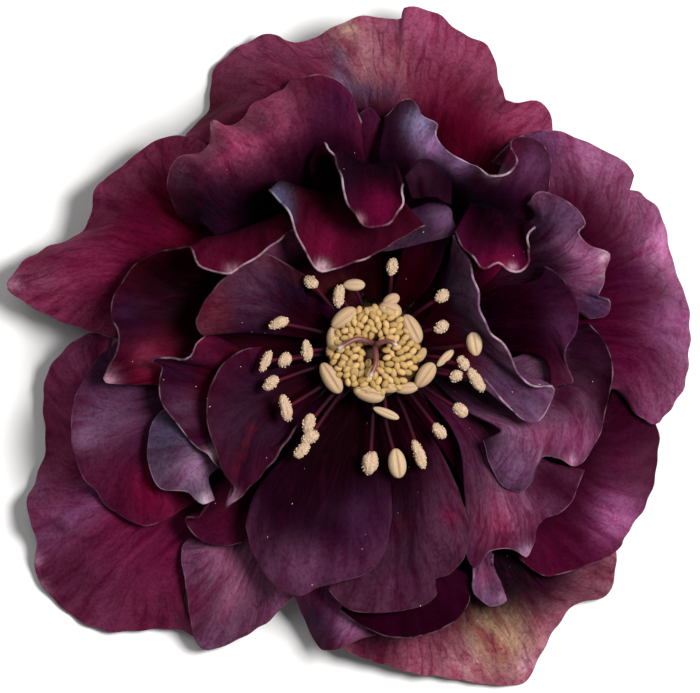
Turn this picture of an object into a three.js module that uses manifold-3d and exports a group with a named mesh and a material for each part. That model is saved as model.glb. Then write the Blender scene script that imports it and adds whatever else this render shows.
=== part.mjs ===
// A double hybrid hellebore bloom, picked and laid on its back: thirty-four petals in four
// overlapping rings on a short cut stalk, round a boss of closed anthers and a spray of stamens.
// Millimetres, +Z up. The flower's axis is the Z axis and the cut end of the stalk stands at Z = 0.

import * as THREE from "three";
import { mergeVertices } from "three/addons/utils/BufferGeometryUtils.js";
import Module from "manifold-3d";

const bladeThickness = 0.66;
const rowCount = 7; // steps from claw to margin
const columnStep = 3.6; // length of margin to one column of a blade
const leastColumns = 6;
const mostColumns = 13;

const clawWidth = 1.3;
const clawGap = 0.3;
const ringHeights = [4.4, 6.3, 8.2, 9.9];
const ringRadii = [4.9, 4.75, 4.55, 4.3];
const clawStep = 0.08; // rise from one claw to the next in its ring

const stalkRadius = 1.9;
const stalkSides = 16;

const filamentRadius = 0.36;
const filamentSides = 5;
const filamentSteps = 3;
const filamentRoot = 3.3; // radius and height at which the filaments leave their collar
const filamentRootHeight = 11.95;

const styleRadius = 0.38;

const budCount = 88;
const budSize = [0.54, 0.4, 0.42]; // half length, half width, half height
const bossSeed = 23;

const anther = 0xe0c79a;
const boss = 0xcdb684;
const style = 0x8c4a55;
const stalk = 0x6f7c4a;

// Each petal is lofted from its claw through a few lines drawn across it. The last line is its
// margin. Lines run clockwise seen from above, so that the inner face is on the same side of all.
// The list goes from the outermost petal to the innermost one, and a narrow fold of the second
// ring comes last.
const petals = [
  {
    name: "outer_petal_lower_left",
    colour: 0x9c5a7e,
    ring: 0,
    azimuth: -155,
    lines: [
      [[-12, -14, 6], [-16, -9, 6.5], [-16, -1, 6.5]],
      [[-19, -24, 5], [-26, -20, 7], [-28, -11, 8], [-27, -2, 7.5]],
      [
        [-17.5, -29, 1.5], [-19.5, -28, 1.5], [-23.5, -28.2, 1], [-27.5, -28, 0.8], [-30.5, -26.7, 0.6],
        [-32.5, -24.7, 0.6], [-34.1, -22, 1], [-34, -19.5, 2.5], [-34.5, -17.2, 3.5], [-34.8, -15.5, 3],
        [-34, -12.8, 2], [-32.9, -9, 2], [-33.3, -5, 2.5], [-33, -2.5, 3], [-31.3, -0.3, 4],
        [-28.7, 1.7, 5], [-26.3, 1.2, 6],
      ],
    ],
  },
  {
    name: "outer_petal_bottom_right",
    colour: 0xb98f98,
    ring: 0,
    azimuth: -62,
    lines: [
      [[12, -12, 5.6], [7, -15, 6], [-1, -15, 5.4]],
      [[20, -19, 5.2], [15, -25, 6.4], [7, -26, 6.6], [-2, -24, 5.2]],
      [
        [24.3, -19.8, 3], [24.1, -22.2, 1.5], [23.1, -24.7, 1], [21, -25.2, 1.5], [18.7, -27, 1.2],
        [17, -29.6, 1], [15.2, -33.4, 0.5], [13, -33.6, 0.7], [10.5, -33.4, 1.2], [5.5, -32.7, 2],
        [1, -31.6, 3], [-2.3, -30.5, 4], [-4, -29, 5],
      ],
    ],
  },
  {
    name: "outer_petal_top",
    colour: 0xb06a8c,
    ring: 0,
    azimuth: 88,
    lines: [
      [[-9, 13, 7], [-4, 17, 7.5], [0, 19, 8], [5, 18, 7.5], [11.5, 14.5, 6.8]],
      [[-13, 22, 9], [-9, 26, 11], [-3, 25.5, 12], [2, 25.5, 15], [7, 25, 13], [13.6, 19.4, 8.6]],
      [
        [-18, 20, 4.5], [-18.8, 21.4, 2.8], [-16.8, 24.2, 1.6], [-16.1, 27.8, 0.8], [-13.5, 30.6, 1.2],
        [-10.5, 31.7, 3], [-7.8, 30.8, 6], [-3.5, 32.5, 8], [-1, 33.4, 8], [2.5, 33.2, 7.5],
        [2.9, 34.2, 7], [6, 33.7, 6], [8.8, 31.8, 5], [11.3, 30.2, 3], [12.7, 26.5, 3.5],
        [13.7, 24.6, 6.5], [16.5, 24.9, 6], [17.8, 23.2, 4], [17.8, 21.7, 4.5],
      ],
    ],
  },
  {
    name: "outer_petal_lower_right",
    colour: 0x7d2a55,
    ring: 0,
    azimuth: -30,
    lines: [
      [[16, -3, 7], [14, -10, 7], [9, -12, 7.4]],
      [[23, -5.5, 7.6], [23.5, -12, 8.8], [20, -16.5, 8.6], [13, -18, 8.4]],
      [
        [24, -2.5, 6], [28, -7.4, 3.5], [28.5, -10, 2], [28, -13.2, 1], [26.5, -16.5, 1.2],
        [25.3, -18.6, 2.5], [24, -20.3, 5.4], [21, -21.7, 6.6], [18.5, -22.5, 7.2], [16.8, -22.6, 7.7],
        [14.5, -21, 8.2],
      ],
    ],
  },
  {
    name: "outer_petal_lower_left_small",
    colour: 0xa0648a,
    ring: 0,
    azimuth: -122,
    lines: [
      [[-6, -14, 6.8], [-9.5, -13.5, 7], [-13, -11, 7.2]],
      [[-9.5, -21.5, 7.4], [-14, -23, 8.2], [-17, -19, 8.4]],
      [
        [-7.9, -24.6, 5], [-9, -25.5, 4], [-11.3, -27.5, 3], [-13.5, -29, 2], [-16, -30, 1.2],
        [-17.2, -29.9, 2], [-18.1, -28.8, 3], [-18.6, -26.5, 5], [-19, -23, 6.8], [-19.4, -19.8, 7.4],
        [-18.5, -18.8, 7.5],
      ],
    ],
  },
  {
    name: "outer_petal_right",
    colour: 0xb0567f,
    ring: 0,
    azimuth: 10,
    lines: [
      [[13, 13, 7.5], [16, 5, 8], [15, -2, 8]],
      [[15.2, 16.8, 11.2], [25, 10, 11.6], [26.5, 2, 11.4], [23.5, -4, 9]],
      [
        [11.6, 18.8, 12.4], [14, 21.1, 10.2], [16.2, 21.9, 7.8], [17.8, 21.9, 6], [20.5, 21.1, 5.5],
        [23.7, 19.7, 4.5], [25.8, 17.7, 4.5], [25.2, 16.3, 6], [26.8, 15.7, 4.5], [28.2, 14.2, 3],
        [29.5, 10.5, 2], [30.8, 6, 1], [31.7, 2, 0.5], [31.3, -2, 1], [30, -5.5, 3],
        [28.5, -7.2, 5], [27.5, -7.3, 6], [23.7, -3.5, 8],
      ],
    ],
  },
  {
    name: "outer_petal_bottom",
    colour: 0x5e3050,
    ring: 0,
    azimuth: -92,
    lines: [
      [[3, -15, 7], [-2, -16, 7], [-6, -15, 7]],
      [[3.5, -24.5, 7.4], [-1, -26, 8.2], [-5, -25.5, 7.6], [-7, -22, 7]],
      [
        [4.5, -28.2, 6.2], [2, -28.1, 7], [-1.5, -29, 7.6], [-3.8, -30, 6.5], [-5.3, -30, 3.5],
        [-6.2, -29, 3], [-7.2, -26.8, 4], [-7.9, -25, 5.5], [-8.5, -24, 6.5],
      ],
    ],
  },
  {
    name: "outer_petal_left",
    colour: 0xa8527c,
    ring: 0,
    azimuth: 155,
    lines: [
      [[-16, 2, 8], [-15, 8, 8.5], [-11, 12, 8.5]],
      [[-25, 3.5, 9.5], [-27, 8, 10], [-23, 14, 10.5], [-17.5, 17.5, 10]],
      [
        [-25.7, 1.3, 7.5], [-28.7, 1.9, 7], [-31.5, 3, 6], [-34.5, 4.5, 5.5], [-36.7, 5.8, 5],
        [-36.8, 6.9, 5], [-35, 8.8, 4.5], [-32.5, 10.4, 4], [-29.5, 11.8, 4.5], [-28.4, 13.2, 5.5],
        [-28.1, 15.8, 5.5], [-27.5, 16.9, 5], [-24.5, 19, 5], [-21.2, 21.3, 5.5], [-18.5, 21.3, 7.5],
        [-16.5, 20.2, 9],
      ],
    ],
  },
  {
    name: "middle_petal_bottom",
    colour: 0x4e2546,
    ring: 1,
    azimuth: -68,
    lines: [
      [[8, -14, 8.6], [5, -16, 8.8], [-1, -16, 9]],
      [[7.5, -21, 9.4], [4, -23.5, 10], [-1, -22.5, 10]],
      [
        [9.3, -22.5, 8.6], [9.3, -25.5, 8.4], [7.2, -27.7, 8.6], [4, -28.7, 9], [1, -28.6, 9.2],
        [-2, -27.2, 9.4], [-3.5, -26, 9.4],
      ],
    ],
  },
  {
    name: "middle_petal_strip",
    colour: 0x8a5a78,
    ring: 1,
    azimuth: -50,
    lines: [
      [[10, -12.5, 8.6], [8.8, -13.5, 8.6]],
      [[11.6, -20, 9.5], [9.9, -20.5, 9.7]],
      [
        [11.6, -21, 9.6], [11.9, -22.8, 9.6], [12.5, -24, 9.6], [13.2, -25.1, 9.6], [11.7, -25.7, 9.4],
        [10.9, -25.3, 9.4], [9.9, -24.2, 9.8], [9.8, -22.5, 9.9], [9.8, -21, 9.9],
      ],
    ],
  },
  {
    name: "middle_petal_lower_right",
    colour: 0x8d4a70,
    ring: 1,
    azimuth: -32,
    lines: [
      [[12, -6, 8.8], [10.3, -8.2, 9.3], [8.2, -9, 9.7]],
      [[17, -11, 9.8], [15, -15, 11.5], [12, -16, 12], [9, -15, 11.5]],
      [
        [21, -12, 10], [20.3, -13.7, 10], [19.7, -15.2, 9.6], [18.5, -16.4, 9.6], [17, -16.8, 9.8],
        [16.1, -17.8, 10], [15.8, -19.3, 10], [15.2, -20.7, 9.6], [14.1, -20.1, 10.2], [12.5, -19.9, 10.8],
        [11.2, -20.3, 11.2], [10.1, -21.8, 11.2], [9.3, -21, 11.2], [9.1, -18.5, 11.4],
      ],
    ],
  },
  {
    name: "middle_petal_lower_left",
    colour: 0x84607e,
    ring: 1,
    azimuth: -170,
    lines: [
      [[-13, -9, 8.5], [-15, -5, 8.5], [-14, -1, 8.2]],
      [[-20, -12.5, 9.5], [-24.5, -9, 10.4], [-23, -3, 9.8]],
      [
        [-17, -14.5, 9], [-19, -15.8, 9], [-21.5, -17.2, 9], [-23.2, -17.6, 9], [-25.5, -16.6, 9],
        [-27.2, -15.3, 8.5], [-28, -14, 9.5], [-29.1, -13, 10], [-29.9, -11, 10], [-30.4, -9, 10],
        [-30.2, -5.5, 9.5], [-29.5, -3.5, 9], [-27.7, -0.7, 8.5], [-25.7, 0.8, 8.5],
      ],
    ],
  },
  {
    name: "middle_petal_lower_left_small",
    colour: 0x7a2148,
    ring: 1,
    azimuth: -134,
    lines: [
      [[-8, -10.5, 8.8], [-10.5, -9.5, 8.8]],
      [[-12, -16, 10.4], [-15.5, -15.5, 11], [-16, -13.5, 10.8]],
      [
        [-13.3, -19.3, 10], [-15, -19.6, 10], [-17, -19.2, 10], [-18.3, -18.2, 10.2], [-19, -17, 10.5],
        [-17.5, -16.8, 12], [-17, -15.8, 12.5], [-16.5, -15, 12.5],
      ],
    ],
  },
  {
    name: "middle_petal_upper_left",
    colour: 0x7c3a68,
    ring: 1,
    azimuth: 118,
    lines: [
      [[-12, 7, 10], [-10, 12, 10], [-5, 15, 10], [-0.9, 15, 10.3]],
      [[-17, 12.5, 15], [-17, 17, 18.5], [-12, 20.5, 20], [-6, 22.3, 18.5], [-1.2, 20.2, 14.5]],
      [
        [-18, 12, 12], [-20, 14.5, 13.5], [-20.6, 17.8, 15], [-19.4, 19.4, 15], [-17.2, 19.6, 15],
        [-16.3, 20.5, 14.5], [-16.2, 22.8, 15.5], [-14, 22.5, 14], [-11.7, 24.6, 13.5], [-9.5, 25.8, 13],
        [-8.3, 27, 12.5], [-6.5, 27.4, 13.6], [-4, 27, 14.4], [-2.3, 25.4, 15], [-1.5, 22.7, 15.2],
      ],
    ],
  },
  {
    name: "middle_petal_upper_right",
    colour: 0x7a5278,
    ring: 1,
    azimuth: 64,
    lines: [
      [[0.5, 15, 10.2], [5, 14, 10], [10, 12, 9], [12, 9.5, 8.8]],
      [[0.4, 19.4, 14.2], [5, 19.6, 17], [10, 16, 17], [14, 16.5, 15.5], [16, 14.5, 13]],
      [
        [1, 23.2, 14], [3.2, 25.1, 15], [4.3, 24.3, 16], [4.6, 23.5, 16], [6.2, 22.6, 16],
        [6.2, 21.2, 17], [7.2, 19.9, 17.5], [9, 18.8, 18], [10.5, 18.1, 19], [11.5, 17.3, 19.5],
        [13.1, 17.8, 19], [14.2, 18.8, 18], [13.7, 20.2, 16], [14, 21.2, 15], [15.8, 21.1, 14],
        [17.1, 20, 13], [17.6, 18.2, 12], [17.4, 16.2, 11.5],
      ],
    ],
  },
  {
    name: "middle_petal_right_low",
    colour: 0x9a6288,
    ring: 1,
    azimuth: -14,
    lines: [
      [[13, -1, 10], [12, -4, 10], [9, -6, 10]],
      [[19, 1.8, 11.6], [20, -4.6, 12.5], [16, -8, 13], [12.5, -8, 13]],
      [
        [21.4, 2.7, 11.1], [23, 0.8, 11.6], [23.8, -2, 11.6], [23.3, -5, 10.8], [22.8, -7.5, 10.5], [21.7, -9.8, 10.4],
        [20, -11.6, 10.6], [18.5, -10.9, 11.6], [16.8, -10.7, 12.2], [16, -11.7, 12], [15.5, -13.2, 12],
        [14.7, -14.1, 12], [13.7, -14.1, 12], [12.5, -13.3, 12], [11.5, -11.5, 12], [10.9, -9, 12],
      ],
    ],
  },
  {
    name: "middle_petal_right",
    colour: 0x8e4f78,
    ring: 1,
    azimuth: 36,
    lines: [
      [[11, 10, 10.2], [13, 7, 9.2], [14, 4.5, 8.8]],
      [[15.8, 13.2, 14], [18, 10.5, 16.5], [20.5, 8, 15], [19, 4.5, 11.6]],
      [
        [15.2, 14.5, 15.5], [16.2, 15.7, 16.5], [18.3, 15.3, 16.5], [20, 14.2, 16], [21, 12.6, 15.5],
        [20.2, 11.9, 16.5], [21.3, 10.5, 16.5], [23.4, 9.6, 16.5], [23, 8, 15.5], [22.8, 6.5, 14.5],
        [22.3, 5.2, 13.4], [23.5, 4.8, 13], [23.2, 3.5, 12.4], [21.5, 3.1, 12],
      ],
    ],
  },
  {
    name: "middle_petal_left_small",
    colour: 0x8c7292,
    ring: 1,
    azimuth: -152,
    lines: [
      [[-10, -9, 10], [-12, -6, 10]],
      [[-16.5, -12.5, 13], [-18.5, -10, 13.5], [-18, -7, 12.5]],
      [
        [-16, -15, 13], [-17.1, -15.4, 13.5], [-17.7, -15.2, 13], [-18.5, -14.3, 12.5], [-19.7, -14, 12],
        [-21.3, -13.9, 11.5], [-22.1, -13, 11.8], [-22.7, -11.3, 12], [-22.8, -10, 12], [-22.5, -8.2, 11.8],
        [-21.5, -6.3, 11], [-20, -5.5, 11],
      ],
    ],
  },
  {
    name: "middle_petal_left",
    colour: 0x4c1236,
    ring: 1,
    azimuth: 172,
    lines: [
      [[-16, -3, 11.3], [-19, 0, 11.6], [-19, 4.5, 11.4], [-14, 7.5, 11.5]],
      [
        [-21.5, -3.4, 11.8], [-24, -3.4, 11.8], [-26.8, -3.3, 11.8], [-27.2, -2.7, 12], [-26.3, -1.2, 13.5],
        [-25.6, 0.5, 14], [-25.7, 2, 14], [-26.4, 3.3, 13], [-26.3, 5, 12.5], [-25.5, 6.5, 12.5],
        [-23.7, 8.8, 13], [-21.2, 10, 14], [-18.7, 10.2, 14.5], [-17.5, 8.8, 14],
      ],
    ],
  },
  {
    name: "middle_petal_right_cup",
    colour: 0x4a1638,
    ring: 1,
    azimuth: 12,
    lines: [
      [[12, 6, 11], [13, 3, 10.8], [13, 0, 10.6]],
      [[16, 7, 13.2], [17.8, 3, 13.4], [17, -1, 12.8]],
      [
        [16.8, 8.3, 14.6], [17.9, 7.8, 15], [19.7, 6, 14.5], [20.3, 4, 14.5], [20.1, 2, 14.5],
        [19.1, 0.3, 14.5], [19.2, -1.5, 14], [19.9, -3.2, 14], [18.5, -3.5, 13.5], [17.5, -4, 13.5],
      ],
    ],
  },
  {
    name: "inner_petal_hood",
    colour: 0x6a2a55,
    ring: 2,
    azimuth: 66,
    lines: [
      [[2.2, 11, 11.8], [4, 11, 12], [6.2, 9.6, 12]],
      [[2.9, 17, 20], [4.4, 18.7, 20.6], [6.2, 18.3, 20], [7.4, 16.6, 18.8]],
      [[3.6, 15.2, 21.6], [5, 15.2, 21.6], [6.6, 15, 21.2], [7.5, 14.5, 20.4]],
    ],
  },
  {
    name: "inner_petal_top_lip",
    colour: 0x8c1f4c,
    ring: 2,
    azimuth: 90,
    lines: [
      [[-5, 13, 11.8], [-2, 14, 11.6], [1.2, 13.5, 11.4]],
      [[-6.5, 18.5, 16.5], [-4, 20, 17], [-1, 18.5, 17], [2, 18.5, 17.5]],
      [
        [-5.2, 20.7, 19], [-4, 19, 21], [-3.2, 17.5, 22], [-3.1, 15.5, 23], [-2.5, 14, 23.5],
        [-1.5, 12.6, 24], [-0.5, 12.2, 24], [0.7, 12.4, 24], [2, 13.3, 23.5], [2.8, 14.7, 23],
        [2.9, 16.5, 22.5],
      ],
    ],
  },
  {
    name: "inner_petal_right_lip",
    colour: 0x84204c,
    ring: 2,
    azimuth: 42,
    lines: [
      [[8, 10, 12.5], [10, 9, 12.5], [11.5, 7, 12.5]],
      [[9.5, 14.5, 15], [12.5, 13.8, 14.5], [15.2, 12.4, 15.8]],
      [
        [8, 11.8, 21], [8.6, 10.3, 21.5], [9.6, 9.1, 22], [10.7, 8.1, 22.5], [12.2, 8.7, 22.5],
        [13.3, 8.1, 22.5], [14.6, 7.9, 22], [15.4, 8.8, 21.5], [15.5, 10.1, 21], [15.1, 11, 20.5],
        [15.9, 12.3, 19],
      ],
    ],
  },
  {
    name: "inner_petal_left",
    colour: 0x5d2c52,
    ring: 2,
    azimuth: -170,
    lines: [
      [[-10, -8, 12], [-12, -4.5, 12], [-11.5, -0.5, 12]],
      [
        [-15.3, -12, 14], [-16.2, -11.2, 15], [-16.7, -10.3, 15], [-17.7, -9.8, 14.5], [-19.3, -8, 14],
        [-20.8, -6.2, 13.5], [-21.5, -4.8, 13.5], [-21.6, -3.3, 13.5], [-21.3, -1.7, 14.5],
        [-22.3, -1, 15], [-21, -0.5, 15.5], [-19.5, -0.9, 16], [-18.3, -0.4, 16], [-17.7, 0.8, 15.5],
        [-16.5, 1.7, 14.5],
      ],
    ],
  },
  {
    name: "inner_petal_bottom_right",
    colour: 0x7c4468,
    ring: 2,
    azimuth: -72,
    lines: [
      [[5.6, -8.5, 12], [3.8, -10, 12.4], [0, -10, 10.8]],
      [[8.1, -13.4, 13.9], [5.4, -17.4, 14.8], [2, -19.6, 11.6], [-2.5, -19, 11.2]],
      [
        [9, -15.8, 13.4], [9.3, -18.2, 13], [8.8, -20.8, 12.6], [7.5, -22.4, 12],
        [5.9, -23, 12], [6.3, -24.2, 11.8], [5, -25.4, 11.6], [2.5, -26.1, 11.4], [-0.5, -26.3, 11.2],
        [-2.5, -26, 11], [-4, -24.8, 10.8], [-4.7, -23.8, 10.8],
      ],
    ],
  },
  {
    name: "inner_petal_top_left_lip",
    colour: 0x86224e,
    ring: 2,
    azimuth: 118,
    lines: [
      [[-5.5, 9.5, 12.5], [-3, 11, 13], [0.5, 11.5, 13]],
      [[-9, 16.5, 16], [-5, 15.5, 15.5], [-1, 15.3, 16], [2.2, 15.2, 19]],
      [
        [-10.5, 16, 21.5], [-9.1, 14.5, 21.5], [-8.3, 12.5, 21.5], [-7.5, 10.7, 21.5], [-6.4, 9.1, 21.5],
        [-5.4, 7.8, 21.5], [-4, 8, 21.5], [-2.3, 8.5, 21.5], [-1, 9, 21.5], [1, 10.2, 21],
        [3, 11.3, 20.6], [5, 12.3, 20.4],
      ],
    ],
  },
  {
    name: "inner_petal_right",
    colour: 0x75587a,
    ring: 2,
    azimuth: 8,
    lines: [
      [[7.2, 7.6, 13], [7.5, 4.5, 13.6], [8.5, 0, 13.5], [8.5, -3, 12.5]],
      [
        [8, 11.5, 20], [9.5, 8, 20.5], [10.5, 4.5, 20.5], [11.5, 1.8, 20], [13.2, -0.2, 19],
        [13.7, -1.2, 18], [15, -3, 17], [16.5, -3.6, 16.5], [17.8, -4, 16], [17.4, -5.5, 15.5],
        [16.5, -7, 15], [15.5, -7.3, 15], [14, -6.5, 15], [12.5, -4.5, 15], [11, -2.8, 14.5],
      ],
    ],
  },
  {
    name: "inner_petal_fold",
    colour: 0x8c5a80,
    ring: 3,
    azimuth: 62,
    lines: [
      [[2.4, 8.5, 13.6], [4.5, 8, 14], [5.6, 6.8, 14.4]],
      [[3.4, 13.8, 18.4], [5.5, 14.6, 18.8], [7.2, 14, 19], [8, 12.5, 19]],
      [[0.5, 9.8, 18], [2.5, 10.1, 18], [5, 10.7, 18.5], [7, 11.2, 19], [8, 11.8, 19.5]],
    ],
  },
  {
    name: "inner_petal_left_lip",
    colour: 0x8a2450,
    ring: 3,
    azimuth: 138,
    lines: [
      [[-9, 6, 12.6], [-8, 8.5, 13.2], [-5.8, 9.2, 13.8]],
      [[-16, 11, 15.5], [-13, 12, 15.5], [-9, 13.5, 16]],
      [
        [-18.5, 10.3, 19.5], [-17.9, 9.2, 19.5], [-17.2, 8.3, 19.5], [-15.7, 7.8, 19.5], [-14.3, 7.5, 19.5],
        [-13, 8.4, 19.5], [-11.3, 9.6, 19.5], [-9.5, 11.2, 19.5], [-7.8, 12.1, 19],
      ],
    ],
  },
  {
    name: "inner_petal_top_small",
    colour: 0x6a3a62,
    ring: 3,
    azimuth: 112,
    lines: [
      [[-6, 5.8, 13.6], [-4, 7, 13.8], [-2, 7.5, 13.8]],
      [[-11, 9.8, 16.3], [-9.5, 11.6, 16.8], [-6, 12.4, 17], [-3, 11.8, 16.8], [-1, 10.5, 16]],
    ],
  },
  {
    name: "inner_petal_upper_left",
    colour: 0x6e4666,
    ring: 3,
    azimuth: 162,
    lines: [
      [[-9.5, 1.5, 13.2], [-10, 4.5, 14], [-7, 5.6, 14.6]],
      [
        [-15, 2.2, 14.5], [-17.3, 1.6, 16], [-17.8, 2.8, 16.8], [-17.1, 4.6, 17], [-16, 6.3, 17.2],
        [-14.7, 7.6, 17.4], [-13.2, 8.6, 17.6], [-11.3, 9.6, 17.6], [-9, 8.8, 17], [-7, 7.5, 16],
      ],
    ],
  },
  {
    name: "inner_petal_bottom_left",
    colour: 0x5c2848,
    ring: 3,
    azimuth: -112,
    lines: [
      [[1, -8.6, 12.2], [-2.8, -10, 13], [-7.6, -9, 13.5]],
      [[1.5, -13.5, 13.7], [-2, -16.3, 15.1], [-7, -16.9, 15.7], [-11.8, -14, 14.4]],
      [
        [1.6, -16.2, 13.3], [1.4, -18.8, 13], [0.5, -21, 12.9], [-1, -22.3, 12.9], [-3.3, -23.1, 12.8],
        [-5.7, -23.8, 12], [-7.7, -24.5, 11.5], [-9.2, -24, 11.5], [-10.9, -22.5, 12], [-12.2, -20.4, 12.5],
        [-12.9, -17.4, 13.2],
      ],
    ],
  },
  {
    name: "inner_petal_lower_left",
    colour: 0x7a5672,
    ring: 3,
    azimuth: -158,
    lines: [
      [[-6.5, -5.5, 12.5], [-8.5, -4.5, 12.5], [-8.5, -1.5, 12.5]],
      [[-10, -10.5, 14.5], [-12.5, -6.5, 14], [-12, -2, 14]],
      [
        [-7.5, -7.5, 15], [-9.5, -10.2, 15.5], [-11.7, -12.8, 16], [-13.5, -14.8, 16], [-14.9, -15.8, 15.5],
        [-13.9, -13.8, 16.5], [-15.1, -12.3, 16.5], [-15.7, -10.7, 16], [-16.5, -8.5, 15.5],
        [-16.8, -6.2, 15.5], [-16.6, -4.2, 15.5], [-15.9, -2.3, 15.5], [-14.8, -0.9, 15.5],
        [-13.5, -0.1, 15.5], [-11.3, 0.3, 14.5],
      ],
    ],
  },
  {
    name: "middle_petal_top_fold",
    colour: 0x7c3a68,
    ring: 1,
    azimuth: 90,
    lines: [
      [[-1.4, 14, 8.7], [0, 14.2, 8.6], [1.2, 13.8, 8.6]],
      [[-1.9, 20, 12.2], [-0.3, 20.4, 12.6], [1.2, 19.8, 12]],
      [[-2.1, 22.6, 13.4], [-1.4, 23.8, 14], [-0.5, 24.2, 14.2], [0.3, 23.4, 13.6], [0.9, 22, 12.6]],
    ],
  },
];

// Receptacle and stalk from the cut end up: radius and height.
const receptacleProfile = [
  [0, 0], [stalkRadius, 0], [1.8, 0.8], [2, 1.9], [3.6, 2.5], [5.7, 3], [5.8, 3.4], [4.6, 3.8],
  [4.6, 4.6], [4.5, 6.4], [4.25, 8.4], [3.95, 10.1], [3.4, 10.9], [1.8, 11.3], [0, 11.4],
];

// The collar that the filaments spring from, and the core of the boss over it.
const collarProfile = [[0, 11.7], [3.2, 11.7], [3.7, 12.0], [3.3, 12.4], [0, 12.4]];
const coreProfile = [
  [0, 12.8], [2.2, 12.9], [3.9, 13.9], [4.6, 14.6], [4.5, 15.4], [3.8, 15.9], [2.4, 16.1], [1.4, 15.7],
  [0.9, 15.0], [0, 14.9],
];

// Closed anthers at the edge of the boss: place, heading of the long axis in degrees, half length
// and half width.
const plumpAnthers = [
  { at: [-3.1, 3.2, 15.6], heading: 37, half: [1.5, 0.85] },
  { at: [-4, 1, 15.3], heading: -82, half: [1.4, 0.85] },
  { at: [-4.4, -2.8, 15.2], heading: -58, half: [1.75, 0.88] },
  { at: [-0.6, -4.3, 15.4], heading: -14, half: [1.6, 0.92] },
  { at: [5, -2.5, 15.3], heading: 54, half: [1.45, 0.85] },
  { at: [3.7, 2.1, 15.6], heading: -63, half: [1.6, 0.85] },
  { at: [1.5, 4, 15.4], heading: -20, half: [1.2, 0.85] },
  { at: [1.5, -3.7, 15.5], heading: 8, half: [1, 0.6] },
  { at: [3.1, -3.8, 15.2], heading: 6, half: [1.2, 0.6] },
  { at: [1.6, 5, 15.3], heading: 25, half: [0.9, 0.6] },
];

// Stamens: where the anther is, the heading of its long axis, half length and half width.
const stamenTable = [
  { at: [-6.4, 6.8, 16.6], heading: -45, half: [0.75, 0.6] },
  { at: [-3.6, 5.4, 15.1], heading: 85, half: [1.15, 0.55] },
  { at: [-2.1, 6.5, 15.1], heading: 0, half: [1.1, 0.6] },
  { at: [1.7, 8.3, 15.7], heading: 80, half: [0.85, 0.55] },
  { at: [6.7, 5.4, 16], heading: 30, half: [0.75, 0.6] },
  { at: [6.6, 2.3, 15.4], heading: 35, half: [0.75, 0.58] },
  { at: [9.9, 0.6, 17.2], heading: 100, half: [1.2, 0.78] },
  { at: [8.8, -1.3, 15.9], heading: -60, half: [0.75, 0.52] },
  { at: [7, -0.8, 15], heading: 45, half: [1.15, 0.42] },
  { at: [8.1, -2.6, 15.3], heading: 30, half: [0.68, 0.55] },
  { at: [10.1, -3, 16], heading: -58, half: [1.35, 0.58] },
  { at: [8.5, -6, 14.8], heading: -40, half: [0.8, 0.6] },
  { at: [6.4, -8.1, 14.8], heading: -55, half: [0.88, 0.56] },
  { at: [4.4, -10.4, 15.2], heading: -70, half: [1.5, 0.55] },
  { at: [2.2, -11.3, 15.6], heading: -82, half: [1.5, 0.9] },
  { at: [-0.5, -11.3, 15.6], heading: 80, half: [1.15, 0.78] },
  { at: [1.1, -6.3, 14.4], heading: -22, half: [1.4, 0.45] },
  { at: [-6.6, -7.3, 16.7], heading: 70, half: [0.95, 0.6] },
  { at: [-6.5, -8.7, 16.6], heading: 35, half: [0.9, 0.65] },
  { at: [-7.3, -10, 17], heading: 45, half: [0.95, 0.55] },
  { at: [-8.9, -5.8, 16.1], heading: -76, half: [1.35, 0.58] },
  { at: [-10.4, -3.3, 16], heading: 40, half: [0.9, 0.58] },
  { at: [-9, -1, 15.8], heading: 60, half: [0.78, 0.6] },
  { at: [-10.9, -1.1, 16.1], heading: 65, half: [1.15, 0.45] },
  { at: [-6.8, -0.1, 14.8], heading: -84, half: [1.05, 0.56] },
  { at: [-9.6, 2.7, 16], heading: 22, half: [1, 0.56] },
];

// Styles: three horns that bend out over the boss from one foot.
const styleFoot = [-0.1, 0.5, 15.4];
const stylePaths = [
  [[-0.3, 0.7, 17], [-1.8, 1.1, 17.9], [-3.7, 0.1, 18.3]],
  [[0, 0.2, 17], [0.1, -1.2, 17.8], [-0.5, -2.7, 18.2]],
  [[0.2, 0.6, 17], [1.2, 0.9, 17.7], [2.2, 0.5, 18.1]],
];

// A smooth curve through hand-set points: cubic spans over chord length.
function splinePoint(points, share) {
  const marks = [0];
  for (let i = 1; i < points.length; i++) {
    marks.push(marks[i - 1] + Math.max(1e-6, points[i].distanceTo(points[i - 1])));
  }
  const at = share * marks[marks.length - 1];
  let span = 0;
  while (span < points.length - 2 && at > marks[span + 1]) span++;
  const width = marks[span + 1] - marks[span];
  const slope = (i) => {
    const before = Math.max(0, i - 1);
    const after = Math.min(points.length - 1, i + 1);
    return points[after].clone().sub(points[before]).divideScalar(marks[after] - marks[before]);
  };
  const t = (at - marks[span]) / width;
  const a = (1 + 2 * t) * (1 - t) * (1 - t);
  const b = t * (1 - t) * (1 - t) * width;
  const c = t * t * (3 - 2 * t);
  const d = t * t * (t - 1) * width;
  return points[span].clone().multiplyScalar(a)
    .addScaledVector(slope(span), b)
    .addScaledVector(points[span + 1], c)
    .addScaledVector(slope(span + 1), d);
}

// The claw is a short arc on the receptacle, listed clockwise.
function clawLine(petal) {
  const place = petals.filter((other) => other.ring === petal.ring).indexOf(petal);
  const height = ringHeights[petal.ring] + clawStep * place;
  const radius = ringRadii[petal.ring] + clawGap;
  const half = clawWidth / 2 / radius;
  const middle = THREE.MathUtils.degToRad(petal.azimuth);
  return [half, 0, -half].map(
    (turn) =>
      new THREE.Vector3(
        radius * Math.cos(middle + turn),
        radius * Math.sin(middle + turn),
        height,
      ),
  );
}

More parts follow.
